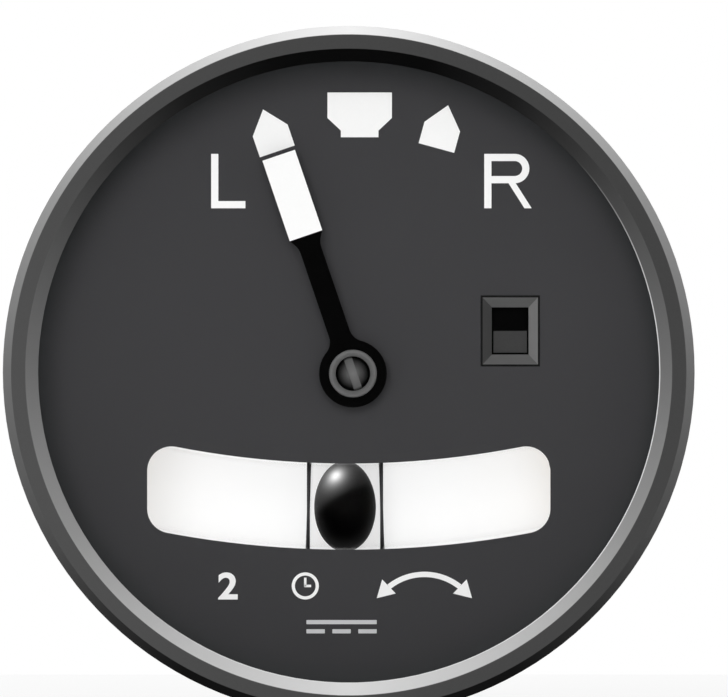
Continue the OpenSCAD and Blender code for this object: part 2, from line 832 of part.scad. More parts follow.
// Each wire is a ring round the tube that stands upright, not square to the tube
module slip_wires() color(dial_grey)
  for (at = [-wire_x, wire_x] * mm_angle)
    on_slip(at) rotate([0, 90 + at, 0]) rotate_extrude()
      translate([tube_r + wire_d / 2 + slide_gap, 0]) circle(r = wire_d / 2, $fn = 24);

module slip_cradle() color(paint_white) slip_sweep(-cradle_half, cradle_half) difference() {
  translate([-cradle_in_r - cradle_wall, slip_y - plate_y])
    square([2 * (cradle_in_r + cradle_wall), plate_y - slip_y + cradle_rise]);
  circle(r = cradle_in_r);
}

module slip_caps() color(brass) intersection() {
  for (side = [-1, 1])
    difference() {
      union() {
        slip_span(side, cap_lip, cap_half) circle(r = cap_out_r);
        slip_span(side, cap_lip, cap_foot_half) cap_foot();
      }
      slip_span(side, 0, tube_half + seat_gap * mm_angle) circle(r = tube_r + slide_gap);
      on_slip(side * slip_screw_angle) rod(0, 0, screw_r + thread_gap, 0, plate_y - slip_y + overcut);
    }
  ring(0, support_in_r - clear_gap, dial_back, plate_y);
}

module cap_foot() {
  translate([-cap_foot_h / 2, slip_y - plate_y])
    square([cap_foot_h, plate_y - slip_y - tube_r + cap_foot_lap]);
}

module slip_span(side, angle0, angle1) {
  slip_sweep(min(side * angle0, side * angle1), max(side * angle0, side * angle1)) children();
}

function slip_point(angle) = [slip_x + slip_arc * sin(angle), slip_z + slip_arc * (1 - cos(angle))];
slip_screw_at = [slip_point(-slip_screw_angle), slip_point(slip_screw_angle)];

// Mechanism frame

post_at = [for (a = post_angles) polar(post_ring_r, a)];
bridge_half = 11;
bridge_leg = 5;
bridge_h = 6;
bridge_at = [[pointer_x - bridge_half, pointer_z], [pointer_x + bridge_half, pointer_z]];
bush_wall = 1.5;
pivot_bush_wall = 1.7;
bush_r = shaft_r + bush_wall;
pivot_bush_r = pivot_r + pivot_bush_wall;
bush_flange_w = 0.7;
bush_flange_t = 0.6;

module front_plate() color(black) difference() {
  slab(plate_y, plate_back) difference() {
    circle(r = dial_r);
    translate([pointer_x, pointer_z]) circle(r = bush_r + seat_gap);
    translate([gimbal_x, gimbal_z]) circle(r = pivot_bush_r + seat_gap);
    for (at = concat(post_at, slip_screw_at, chassis_at))
      translate(at) circle(r = screw_r + screw_gap);
    for (at = bridge_at)
      translate(at) circle(r = screw_r + thread_gap);
  }
  for (at = chassis_at)
    rod(at[0], at[1], screw_head_r + screw_gap, plate_y - overcut, plate_y + head_sink);
}

damper_ear_at = [[damper_ear_x, damper_z - damper_ear_z], [damper_ear_x, damper_z + damper_ear_z]];
bracket_screw_at = [gimbal_x, gimbal_z + spring_anchor + bracket_rise + bracket_h / 2];
board_screw_at = [[-board_w / 2 + board_edge, board_z], [board_w / 2 - board_edge, board_z]];

module rear_plate() color(aluminium) slab(rear_y, rear_back) difference() {
  circle(r = rear_plate_r);
  translate([gimbal_x, gimbal_z]) circle(r = pivot_bush_r + seat_gap);
  for (at = concat(post_at, damper_ear_at, [bracket_screw_at]))
    translate(at) circle(r = screw_r + screw_gap);
  for (at = board_screw_at)
    translate(at) circle(r = screw_r + thread_gap);
  for (side = [-1, 1])
    translate([gimbal_x + side * stop_x, gimbal_z + stop_z]) circle(r = stop_r + seat_gap);
}

module frame_posts() color(aluminium)
  for (at = post_at)
    difference() {
      rod(at[0], at[1], post_r, plate_back, rear_y);
      rod(at[0], at[1], screw_r + thread_gap, plate_back - overcut, plate_back + screw_hole);
      rod(at[0], at[1], screw_r + thread_gap, rear_y - screw_hole, rear_y + overcut);
    }

module frame_screws() color(steel) {
  for (at = post_at) {
    screw(at[0], at[1], plate_y, plate_t + screw_bite);
    screw(at[0], at[1], rear_back, plate_t + screw_bite, -1);
  }
  for (at = chassis_at)
    screw(at[0], at[1], plate_y + head_sink, plate_t - head_sink + ledge_t - screw_short);
  for (at = slip_screw_at)
    screw(at[0], at[1], plate_back, plate_t + slip_screw_bite, -1);
  for (at = bridge_at)
    screw(at[0], at[1], bridge_back, bridge_back - plate_y - screw_short, -1);
  for (at = damper_ear_at)
    screw(at[0], at[1], rear_back, plate_t + damper_ear_t, -1);
  screw(bracket_screw_at[0], bracket_screw_at[1], rear_back, plate_t + screw_bite, -1);
  for (at = board_screw_at)
    screw(at[0], at[1], board_y + board_t, board_y + board_t - rear_y - screw_short, -1);
}

module flanged_bush(x, z, bore, r, y0, y1, flange_y) {
  translate([x, 0, z]) difference() {
    union() {
      rod(0, 0, r, y0, y1);
      rod(0, 0, r + bush_flange_w, flange_y, flange_y + bush_flange_t);
    }
    rod(0, 0, bore, min(y0, flange_y) - overcut, y1 + bush_flange_t + overcut);
  }
}

module gimbal_bearings() color(brass) {
  flanged_bush(gimbal_x, gimbal_z, pivot_r + run_gap, pivot_bush_r, plate_y, plate_back, plate_back);
  flanged_bush(gimbal_x, gimbal_z, pivot_r + run_gap, pivot_bush_r, rear_y, rear_back,
    rear_y - bush_flange_t);
}

module pointer_bushes() color(brass) {
  flanged_bush(pointer_x, pointer_z, shaft_r + run_gap, bush_r, plate_y, plate_back,
    plate_y - bush_flange_t);
  flanged_bush(pointer_x, pointer_z, shaft_r + run_gap, bush_r, bridge_y, bridge_back, bridge_back);
}

module pointer_bridge() color(brass) difference() {
  union() {
    slab(bridge_y, bridge_back)
      translate([pointer_x - bridge_half - bridge_leg / 2, pointer_z - bridge_h / 2])
        square([2 * bridge_half + bridge_leg, bridge_h]);
    for (at = bridge_at)
      slab(plate_back, bridge_back) translate([at[0] - bridge_leg / 2, at[1] - bridge_h / 2])
        square([bridge_leg, bridge_h]);
  }
  rod(pointer_x, pointer_z, bush_r + seat_gap, bridge_y - overcut, bridge_back + overcut);
  for (at = bridge_at)
    rod(at[0], at[1], screw_r + screw_gap, plate_back - overcut, bridge_back + overcut);
}

module stop_pins() color(steel)
  for (side = [-1, 1])
    rod(gimbal_x + side * stop_x, gimbal_z + stop_z, stop_r, gimbal_back - bar_t + stop_inset, rear_back);

// Needle and its drive

needle_fillet = 2;
needle_flare = 1.2;
module needle_outline() {
  root = tip_at - paddle_len;
  circle(r = hub_r);
  translate([-stem_w / 2, 0]) square([stem_w, root]);
  polygon([
    [-stem_w / 2, root - needle_flare], [stem_w / 2, root - needle_flare], [paddle_w / 2, root],
    [paddle_w / 2, tip_at], [-paddle_w / 2, tip_at], [-paddle_w / 2, root]
  ]);
}

module pointer_arm() color(black) on_pointer() difference() {
  slab(arm_y, arm_back) offset(r = -needle_fillet, $fn = 40) offset(delta = needle_fillet) needle_outline();
  rod(0, 0, shaft_r + seat_gap, arm_y - overcut, arm_back + overcut);
}

module pointer_paint() color(paint_white) on_pointer() slab(arm_y - paint_t, arm_y)
  translate([-paddle_w / 2, tip_at - paddle_len]) square([paddle_w, paddle_len]);

collar_t = 0.7;
hub_screw_h = 0.6;
hub_slot_w = 1.0;
hub_slot_depth = 0.35;
hub_thread_len = 2.5;
hub_thread_room = 0.5;
shaft_end = 1;
module pointer_collar() color(collar_grey) on_pointer() difference() {
  rod(0, 0, collar_r, arm_y - collar_t, arm_y);
  rod(0, 0, hub_screw_r + slide_gap, arm_y - collar_t - overcut, arm_y + overcut);
}

hub_thread_r = shaft_r * 0.6;
module pointer_screw() color(collar_grey) on_pointer() difference() {
  union() {
    rod(0, 0, hub_screw_r, arm_y - hub_screw_h, arm_y);
    rod(0, 0, hub_thread_r, arm_y, arm_y + hub_thread_len);
  }
  translate([-hub_slot_w / 2, arm_y - hub_screw_h - overcut, -hub_screw_r - overcut])
    cube([hub_slot_w, overcut + hub_slot_depth, 2 * hub_screw_r + 2 * overcut]);
}

module pointer_shaft() color(steel) on_pointer() difference() {
  rod(0, 0, shaft_r, arm_y, bridge_back + shaft_end);
  rod(0, 0, hub_thread_r + thread_gap, arm_y - overcut, arm_y + hub_thread_len + hub_thread_room);
}

module pinion() color(brass) on_pointer() difference() {
  slab(gear_y, gear_back) polygon([for (i = [0 : pinion_teeth - 1])
    each tooth(pinion_teeth, -90 + (i + 0.5) * 360 / pinion_teeth)]);
  rod(0, 0, shaft_r + seat_gap, gear_y - overcut, gear_back + overcut);
}

sector_hub_wall = 2;
sector_inset = 0.2;
sector_hub_r = pivot_r + sector_hub_wall;
module sector_gear() color(brass) on_gimbal() difference() {
  slab(gear_y + sector_inset, gear_back - sector_inset) {
    polygon(concat([[0, 0]], [for (i = [-sector_reach : sector_reach])
      each tooth(sector_teeth, 90 + i * 360 / sector_teeth)]));
    circle(r = sector_hub_r);
  }
  rod(0, 0, pivot_r + seat_gap, gear_y - overcut, gear_back + overcut);
}

// Gimbal and gyro wheel

module gimbal_frame() color(aluminium) on_gimbal() difference() {
  translate([-gimbal_out_x, gimbal_y, -gimbal_h / 2])
    cube([2 * gimbal_out_x, gimbal_back - gimbal_y, gimbal_h]);
  translate([-gimbal_in_x, gimbal_y + bar_t, -gimbal_h / 2 - overcut])
    cube([2 * gimbal_in_x, gimbal_back - gimbal_y - 2 * bar_t, gimbal_h + 2 * overcut]);
  rod(0, 0, pivot_r + seat_gap, gimbal_y - overcut, gimbal_back + overcut);
  cross_rod(rotor_y, 0, bearing_r + seat_gap, -gimbal_out_x - overcut, gimbal_out_x + overcut);
}

module gimbal_pivots() color(steel) on_gimbal() {
  rod(0, 0, pivot_r, plate_y + clear_gap, gimbal_y + bar_t);
  rod(0, 0, pivot_r, gimbal_back - bar_t, rear_back - clear_gap);
}

module rotor_bearings() color(steel) on_gimbal()
  for (side = [-1, 1])
    translate([side * (gimbal_in_x + side_t / 2), 0, 0]) turned_across([
      [rotor_shaft_r + run_gap, -side_t / 2], [bearing_r, -side_t / 2],
      [bearing_r, side_t / 2], [rotor_shaft_r + run_gap, side_t / 2]
    ]);

module bearing_caps() color(brass) on_gimbal()
  for (side = [-1, 1])
    cross_rod(rotor_y, 0, cap_r, side > 0 ? gimbal_out_x : -gimbal_out_x - cap_t,
      side > 0 ? gimbal_out_x + cap_t : -gimbal_out_x);

magnet_gap = 0.6;
magnet_short = 2;
magnet_w = rotor_w - magnet_short;
module field_magnets() color("#3a3a3e") on_gimbal()
  for (side = [-1, 1])
    difference() {
      translate([-magnet_w / 2, side > 0 ? rotor_y : gimbal_y + bar_t, -gimbal_h / 2])
        cube([magnet_w, rotor_r + rotor_gap, gimbal_h]);
      cross_rod(rotor_y, 0, rotor_r + magnet_gap, -magnet_w, magnet_w);
    }

holder_w = brush_w + 2 * drop_gap + 2 * holder_wall;
brush_start = commutator_r + drop_gap;
holder_gap = 1;
// Where a block of some length starts, on one side of the wheel's axis or the other
function across_rotor(side, gap, length) = side > 0 ? rotor_y + gap : rotor_y - gap - length;
module brush_holders() color(insulator) on_gimbal()
  for (side = [-1, 1])
    difference() {
      translate([brush_x - holder_w / 2, across_rotor(side, brush_start + holder_gap, brush_len),
          -holder_w / 2])
        cube([gimbal_in_x - brush_x + holder_w / 2, brush_len, holder_w]);
      translate([brush_x - brush_w / 2 - drop_gap, rotor_y - 3 * brush_len, -brush_w / 2 - drop_gap])
        cube([brush_w + 2 * drop_gap, 6 * brush_len, brush_w + 2 * drop_gap]);
    }

module brushes() color("#2c2c2e") on_gimbal()
  for (side = [-1, 1])
    translate([brush_x - brush_w / 2, across_rotor(side, brush_start, brush_len), -brush_w / 2])
      cube([brush_w, brush_len, brush_w]);

module gimbal_lever() color(steel) on_gimbal() {
  slab(lever_y, lever_back) {
    translate([-lever_w / 2, gimbal_h / 2]) square([lever_w, spring_arm - gimbal_h / 2]);
    translate([0, spring_arm]) circle(r = lever_w / 2);
  }
  rod(0, damper_arm, damper_pin_r, lever_back, damper_y + yoke_t / 2 + damper_pin_over);
  rod(0, spring_arm, spring_pin_r, lever_y - spring_pin_len, lever_y);
}

module rotor_wheel() color(brass) on_gimbal() turned_across([
  [rotor_shaft_r + seat_gap, -rotor_hub_x], [rotor_hub_r, -rotor_hub_x],
  [rotor_hub_r, -web_t / 2], [rotor_r - rim_t, -web_t / 2], [rotor_r - rim_t, -rotor_w / 2],
  [rotor_r, -rotor_w / 2], [rotor_r, rotor_w / 2], [rotor_r - rim_t, rotor_w / 2],
  [rotor_r - rim_t, web_t / 2], [rotor_hub_r, web_t / 2],
  [rotor_hub_r, rotor_hub_x], [rotor_shaft_r + seat_gap, rotor_hub_x]
]);

module rotor_shaft() color(steel) on_gimbal()
  cross_rod(rotor_y, 0, rotor_shaft_r, -gimbal_out_x + clear_gap, gimbal_out_x - clear_gap);

commutator_bars = 6;
commutator_slot_w = 0.3;
commutator_slot_depth = 0.6;
module commutator() color(copper) on_gimbal() difference() {
  cross_rod(rotor_y, 0, commutator_r, commutator_x, commutator_x + commutator_len);
  cross_rod(rotor_y, 0, rotor_shaft_r + seat_gap, commutator_x - overcut, gimbal_in_x);
  for (i = [0 : commutator_bars - 1])
    translate([commutator_x - overcut, rotor_y, 0]) rotate([360 * i / commutator_bars, 0, 0])
      translate([0, -commutator_slot_w / 2, commutator_r - commutator_slot_depth])
        cube([commutator_len + 2 * overcut, commutator_slot_w, overcut]);
}

// Damper

module damper_cylinder() color(brass) difference() {
  union() {
    cross_rod(damper_y, damper_z, damper_r, damper_end_x - damper_end_t, damper_open_x);
    translate([damper_ear_x - damper_ear_w / 2, rear_y - damper_ear_t,
        damper_z - damper_ear_z - screw_head_r])
      cube([damper_ear_w, damper_ear_t, 2 * damper_ear_z + 2 * screw_head_r]);
    translate([damper_ear_x - damper_ear_w / 2, damper_y, damper_z - damper_r / 2])
      cube([damper_ear_w, rear_y - damper_y, damper_r]);
  }
  cross_rod(damper_y, damper_z, damper_bore_r, damper_end_x, damper_open_x + overcut);
  for (at = damper_ear_at)
    rod(at[0], at[1], screw_r + thread_gap, rear_y - damper_ear_t - overcut, rear_y + overcut);
}

yoke_slot_w = 2 * damper_pin_r + 2 * drop_gap;
yoke_wall = 1.2;
yoke_end = 1;
yoke_seat = 0.4;
yoke_w = yoke_slot_w + 2 * yoke_wall;
yoke_h = 6;
module damper_piston() color(steel) translate([gimbal_x + damper_shift, 0, damper_z]) {
  cross_rod(damper_y, 0, piston_r, -rod_len - piston_len, -rod_len);
  cross_rod(damper_y, 0, yoke_t / 2, -rod_len, -yoke_slot_w / 2 - yoke_seat);
  slab(damper_y - yoke_t / 2, damper_y + yoke_t / 2) difference() {
    translate([-yoke_w / 2, -yoke_h / 2]) square([yoke_w, yoke_h]);
    translate([-yoke_slot_w / 2, -yoke_h / 2 + yoke_end]) square([yoke_slot_w, yoke_h - 2 * yoke_end]);
  }
}

// Centring spring: straight ends on its axis, and turns between them
spring_end = spring_wire_d;
spring_steps = coil_rings * spring_turns;
function spring_swell(i) = min(1, i / (coil_rings / 2), (spring_steps - i) / (coil_rings / 2));
function spring_angle(i) = 360 * i / coil_rings;
spring_path = concat(
  [[0, 0, 0]],
  [for (i = [0 : spring_steps])
    let (r = coil_r * spring_swell(i))
    [r * cos(spring_angle(i)), r * sin(spring_angle(i)),
      spring_end + i * (spring_len - 2 * spring_end) / spring_steps]],
  [[0, 0, spring_len]]);
spring_across = concat(
  [[1, 0, 0]],
  [for (i = [0 : spring_steps]) [cos(spring_angle(i)), sin(spring_angle(i)), 0]],
  [[1, 0, 0]]);
spring_gap = min([for (i = [0 : spring_steps], j = [i + coil_rings / 2 + 1 : 1 : spring_steps])
  norm(spring_path[i] - spring_path[j])]) - spring_wire_d;
echo(spring_gap = spring_gap);

module centring_spring() color(steel)
  translate([spring_pin_at[0], spring_y, spring_pin_at[1]]) rotate([0, spring_lean, 0])
    translate([0, 0, spring_start]) swept_tube(spring_path, spring_across, spring_wire_d / 2, 6);

bracket_z = gimbal_z + spring_anchor + bracket_rise;
bracket_y = spring_y - bracket_front;
module spring_bracket() color(aluminium) difference() {
  translate([gimbal_x - bracket_w / 2, bracket_y, bracket_z])
    cube([bracket_w, rear_y - bracket_y, bracket_h]);
  translate([gimbal_x, spring_y, bracket_z - overcut])
    cylinder(r = spring_screw_r + thread_gap, h = bracket_h + 2 * overcut);
  rod(bracket_screw_at[0], bracket_screw_at[1], screw_r + thread_gap, rear_y - screw_hole, rear_y + overcut);
}

module spring_screw() color(brass) translate([gimbal_x, spring_y, 0]) {
  translate([0, 0, gimbal_z + spring_anchor]) cylinder(r = spring_screw_r, h = bracket_rise + bracket_h);
  translate([0, 0, bracket_z + bracket_h]) difference() {
    cylinder(r = 2 * spring_screw_r, h = screw_head_h);
    translate([-4 * spring_screw_r, -slot_w / 2, screw_head_h - slot_depth])
      cube([8 * spring_screw_r, slot_w, overcut]);
  }
}

// Wiring

module capacitor() color(aluminium) union() {
  cross_rod(rear_back + can_r + can_gap, can_z, can_r, -can_len / 2, can_len / 2);
  translate([-can_len / 4, rear_back, can_z - can_r / 2]) cube([can_len / 2, can_r, can_r]);
}

board_boss_r = 2.2;
module terminal_board() color(insulator) difference() {
  union() {
    slab(board_y, board_y + board_t)
      translate([-board_w / 2, board_z - board_h / 2]) square([board_w, board_h]);
    for (at = board_screw_at)
      rod(at[0], at[1], board_boss_r, rear_back, board_y);
  }
  for (at = board_screw_at)
    rod(at[0], at[1], screw_r + screw_gap, rear_back - overcut, board_y + board_t + overcut);
}

lug_r = 1.2;
lug_h = 2.5;
module terminal_lugs() color(brass)
  for (x = lug_x)
    rod(x, board_z, lug_r, board_y + board_t, board_y + board_t + lug_h);

// Each lead runs from a contact's tail to a lug in one bend
lead_steps = 8;
pin_order = [1, 0, 2];
function bend(a, b, c, d, t) =
  pow(1 - t, 3) * a + 3 * t * pow(1 - t, 2) * b + 3 * t * t * (1 - t) * c + t * t * t * d;
module lead_wires() color("#7a2f2a")
  for (i = [0 : 2]) {
    at = polar(pin_ring_r, pin_angles[pin_order[i]]);
    tail = [at[0], pin_tail_y, at[1]];
    lug = [lug_x[i], board_y + board_t + lug_h, board_z];
    straight = [0, lead_r, 0];
    path = concat(
      [tail],
      [for (k = [0 : lead_steps])
        bend(tail - straight, tail - 5 * straight, lug + 5 * straight, lug + straight, k / lead_steps)],
      [lug]);
    swept_tube(path, [for (point = path) [1, 0, 0.2]], lead_r, 8);
  }

// Rear cover and receptacle

module rear_gasket() color(rubber_black) slab(case_back, cover_y) difference() {
  circle(r = cover_r);
  circle(r = flange_in_r);
  for (at = cover_at)
    translate(at) circle(r = screw_r + screw_gap);
}

plug_neck_wall = 1;
plug_neck_r = insert_r + plug_neck_wall;
cover_bevel = 0.8;
plug_screw_at = [for (sx = [-1, 1], sz = [-1, 1]) [sx * plug_screw_x, sz * plug_screw_x]];

module rear_cover() color(black) difference() {
  turned([
    [plug_neck_r + drop_gap, cover_y], [cover_r, cover_y], [cover_r, cover_back - cover_bevel],
    [cover_r - cover_bevel, cover_back], [plug_neck_r + drop_gap, cover_back]
  ]);
  for (at = cover_at)
    rod(at[0], at[1], screw_r + screw_gap, cover_y - overcut, cover_back + overcut);
  for (at = plug_screw_at)
    rod(at[0], at[1], screw_r + thread_gap, cover_y - overcut, cover_back + overcut);
}

module cover_screws() color(steel) {
  for (at = cover_at)
    screw(at[0], at[1], cover_back, cover_back - case_back + cover_bite, -1);
  for (at = plug_screw_at)
    screw(at[0], at[1], plug_back, plug_flange_t + cover_t - clear_gap, -1);
}

module connector_shell() color(steel) difference() {
  union() {
    slab(cover_back, plug_back) translate([-plug_flange_w / 2, -plug_flange_w / 2])
      square([plug_flange_w, plug_flange_w]);
    rod(0, 0, plug_r, plug_back, plug_mouth);
    rod(0, 0, plug_r + shoulder_w, plug_back, plug_back + plug_shoulder);
    rod(0, 0, plug_neck_r, cover_y, cover_back);
  }
  rod(0, 0, plug_r - plug_wall, plug_back, plug_mouth + overcut);
  rod(0, 0, insert_r + seat_gap, cover_y - overcut, plug_back + overcut);
  for (at = plug_screw_at)
    rod(at[0], at[1], screw_r + screw_gap, cover_back - overcut, plug_back + overcut);
}

module connector_insert() color(insulator) difference() {
  rod(0, 0, insert_r, insert_y, insert_back);
  for (a = pin_angles)
    rod(polar(pin_ring_r, a)[0], polar(pin_ring_r, a)[1], pin_r + seat_gap,
      insert_y - overcut, insert_back + overcut);
}

module connector_pins() color(brass)
  for (a = pin_angles)
    rod(polar(pin_ring_r, a)[0], polar(pin_ring_r, a)[1], pin_r, pin_tail_y, pin_tip_y);

case_barrel();
bezel();
bezel_screws();
front_glass();
glass_gasket();
glass_spacer();
dial_plate();
dial_marks();
flag_frame();
dial_support();
front_plate();
rear_plate();
frame_posts();
frame_screws();
gimbal_bearings();
pointer_bushes();
pointer_bridge();
slip_tube();
slip_wires();
slip_cradle();
slip_caps();
damper_cylinder();
stop_pins();
centring_spring();
spring_bracket();
spring_screw();
flag_movement();
capacitor();
terminal_board();
terminal_lugs();
lead_wires();
rear_cover();
rear_gasket();
cover_screws();
connector_shell();
connector_insert();
connector_pins();
gimbal_frame();
gimbal_pivots();
sector_gear();
rotor_bearings();
bearing_caps();
field_magnets();
brush_holders();
brushes();
gimbal_lever();
rotor_wheel();
rotor_shaft();
commutator();
pointer_arm();
pointer_paint();
pointer_collar();
pointer_screw();
pointer_shaft();
pinion();
damper_piston();
slip_ball();
flag_vane();
flag_paint();
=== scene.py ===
# %% [markdown]
# # An aircraft turn and slip indicator
# The solids of the instrument are already built, and this lesson dresses them. We load the solids, put a
# camera in front of the dial, give every solid a finish made of nodes, and model by hand what plain
# solids can't show: the liquid-filled tube, the painted signs, rounded screws, a wound spring. All
# lengths are in metres, and MM turns millimetres into them.

# %% Load the frame
import json
import math

import bpy
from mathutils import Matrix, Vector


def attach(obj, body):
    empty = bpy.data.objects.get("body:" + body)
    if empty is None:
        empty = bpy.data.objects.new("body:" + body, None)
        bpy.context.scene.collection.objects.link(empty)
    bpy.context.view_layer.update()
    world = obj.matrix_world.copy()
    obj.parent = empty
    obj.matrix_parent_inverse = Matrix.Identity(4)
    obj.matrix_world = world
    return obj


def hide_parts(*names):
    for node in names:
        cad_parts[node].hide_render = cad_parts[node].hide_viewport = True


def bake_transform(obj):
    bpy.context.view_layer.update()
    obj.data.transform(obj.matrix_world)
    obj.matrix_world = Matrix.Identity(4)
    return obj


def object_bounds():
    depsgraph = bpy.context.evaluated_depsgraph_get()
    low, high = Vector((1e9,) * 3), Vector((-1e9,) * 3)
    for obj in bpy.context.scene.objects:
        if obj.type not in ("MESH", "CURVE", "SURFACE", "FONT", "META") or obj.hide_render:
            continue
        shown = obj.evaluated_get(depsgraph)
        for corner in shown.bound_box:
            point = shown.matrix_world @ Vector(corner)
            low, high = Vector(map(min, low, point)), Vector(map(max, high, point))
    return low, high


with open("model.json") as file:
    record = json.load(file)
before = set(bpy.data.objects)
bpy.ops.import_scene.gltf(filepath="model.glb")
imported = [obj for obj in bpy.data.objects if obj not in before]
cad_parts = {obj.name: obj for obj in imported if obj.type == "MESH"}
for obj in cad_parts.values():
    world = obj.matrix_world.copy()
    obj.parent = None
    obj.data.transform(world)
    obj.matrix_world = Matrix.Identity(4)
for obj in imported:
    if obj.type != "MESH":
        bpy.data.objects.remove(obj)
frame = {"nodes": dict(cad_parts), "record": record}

MM = 0.001
MM_IN_METRE = 1000
nodes = frame["nodes"]
cad_box = [[float(v) for v in corner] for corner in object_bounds()]
pivots = {joint["name"]: joint.get("pos_m") for joint in frame["record"]["behaviour"]["joints"]}


def pivot(joint):
    return [round(v / MM, 6) for v in pivots[joint]]


def box_size(box):
    return [round((high - low) / MM, 1) for low, high in zip(*box)]


print("frame:", len(nodes), "solids, box", box_size(cad_box), "mm")

# %% [markdown]
# ## The camera
# The photograph looks straight at the dial, with no visible perspective. A long lens far away gives that.
# The width of the picture at the bezel's face sets the lens, and the camera stands a little right of and
# above the dial's centre, because the dial isn't in the middle of the photograph.

# %% Camera
FACE_Y = -8 * MM
STAND_OFF = 3.0
PICTURE_WIDTH = 86.78 * MM
CAMERA_X, CAMERA_Z = 1.82 * MM, 2.80 * MM
SENSOR = 36

camera_data = bpy.data.cameras.new("front_camera")
camera_data.sensor_fit = "HORIZONTAL"
camera_data.sensor_width = SENSOR
camera_data.lens = SENSOR * STAND_OFF / PICTURE_WIDTH
camera = bpy.data.objects.new("front_camera", camera_data)
camera.location = (CAMERA_X, FACE_Y - STAND_OFF, CAMERA_Z)
camera.rotation_euler = (math.pi / 2, 0, 0)
bpy.context.scene.collection.objects.link(camera)
bpy.context.scene.camera = camera
print("camera: lens", round(camera_data.lens), "mm")

# %% [markdown]
# ## Writing shader maths as sums
# A finish is a tree of nodes. Wiring each Math node by hand hides the idea, so one small class wraps a
# node's output and lets us write `1 - mask` or `radius * 0.5`. Its `node` method makes every other node:
# first its settings, then the values or links of its sockets.

# %% The signal class
class Signal:
    """One output of a shader node. Arithmetic on it adds Math nodes."""

    def __init__(self, tree, output):
        self.tree = tree
        self.output = output

    def node(self, kind, settings, values, out=0):
        made = self.tree.nodes.new(kind)
        for name, value in settings.items():
            if name == "stops":
                ramp = made.color_ramp
                while len(ramp.elements) < len(value):
                    ramp.elements.new(0.5)
                for element, (position, colour) in zip(ramp.elements, value):
                    element.position = position
                    element.color = colour
            else:
                setattr(made, name, value)
        for name, value in values.items():
            if isinstance(value, Signal):
                self.tree.links.new(value.output, made.inputs[name])
            else:
                made.inputs[name].default_value = value
        return Signal(self.tree, made.outputs[out]) if out is not None else None

    def math(self, operation, first, second=0.0):
        return self.node("ShaderNodeMath", {"operation": operation}, {0: first, 1: second})

    def __add__(self, other):
        return self.math("ADD", self, other)

    def __radd__(self, other):
        return self.math("ADD", other, self)

    def __sub__(self, other):
        return self.math("SUBTRACT", self, other)

    def __rsub__(self, other):
        return self.math("SUBTRACT", other, self)

    def __mul__(self, other):
        return self.math("MULTIPLY", self, other)

    def __rmul__(self, other):
        return self.math("MULTIPLY", other, self)

    def __truediv__(self, other):
        return self.math("DIVIDE", self, other)

    def __rtruediv__(self, other):
        return self.math("DIVIDE", other, self)

    def __abs__(self):
        return self.math("ABSOLUTE", self)

    def root(self):
        return self.math("SQRT", self)

    def sine(self):
        return self.math("SINE", self)

    def arc_cosine(self):
        return self.math("ARCCOSINE", self)

    def most(self, other):
        return self.math("MAXIMUM", self, other)


print("signal class ready")

# %% [markdown]
# ## Words for finishes
# Every finish starts from a point's place on the solid (Object coordinates), and nearly all of them end
# in one Principled shader. Between them we keep asking for the same few things: how far along an axis a
# point is, a grain of some size, a soft step from 0 to 1, a mix of two colours, a bump. Each gets a short
# function, with sizes in millimetres.

# %% Finish helpers
def begin_finish(name):
    material = bpy.data.materials.new(name)
    material.use_nodes = True
    tree = material.node_tree
    tree.nodes.clear()
    return material, Signal(tree, tree.nodes.new("ShaderNodeTexCoord").outputs["Object"])


def end_finish(place, values):
    surface = place.node("ShaderNodeBsdfPrincipled", {}, values)
    place.node("ShaderNodeOutputMaterial", {}, {"Surface": surface}, out=None)


def along(place, axis):
    return place.node("ShaderNodeSeparateXYZ", {}, {0: place}, out=axis) * MM_IN_METRE


def grain(place, size, detail=2.0, stretch=(1, 1, 1)):
    spread = place.node("ShaderNodeMapping", {}, {"Vector": place, "Scale": stretch})
    values = {"Vector": spread, "Scale": MM_IN_METRE / size, "Detail": detail}
    return place.node("ShaderNodeTexNoise", {}, values)


def step(value, low, high):
    limits = {"Value": value, "From Min": low, "From Max": high}
    return value.node("ShaderNodeMapRange", {"interpolation_type": "SMOOTHSTEP"}, limits)


def blend(amount, first, second):
    return amount.node("ShaderNodeMix", {"data_type": "RGBA"}, {0: amount, 6: first, 7: second}, out=2)


def bump(height, depth, strength):
    values = {"Height": height, "Distance": depth * MM, "Strength": strength}
    return height.node("ShaderNodeBump", {}, values)


def grey(value, tint=(1, 1, 1)):
    return tuple(value * t for t in tint) + (1.0,)


print("finish helpers ready")

# %% [markdown]
# ## Paint
# Instrument paint is sprayed. Close up it has a fine speckle, and over the whole surface its tone drifts
# a little. Both are noise, one small and one large, and the small one also makes the surface slightly
# rough. Black, white and grey paints differ only in colour, grain and gloss, so one function makes them
# all.

# %% Sprayed paints
def sprayed_paint(name, colour, rough, speck=0.25, depth=0.01, spread=0.1, sheen=0.06):
    material, place = begin_finish(name)
    fine = grain(place, speck)
    drift = grain(place, 60 * speck, 1.0)
    tone = fine * 0.5 + drift * 0.5
    dark = tuple(c * (1 - spread) for c in colour[:3]) + (1.0,)
    light = tuple(min(1.0, c * (1 + spread)) for c in colour[:3]) + (1.0,)
    end_finish(place, {
        "Base Color": blend(tone, dark, light),
        "Roughness": rough + (fine - 0.5) * 0.15,
        "Normal": bump(fine, depth, 0.5),
        "Specular IOR Level": sheen,
    })
    return material


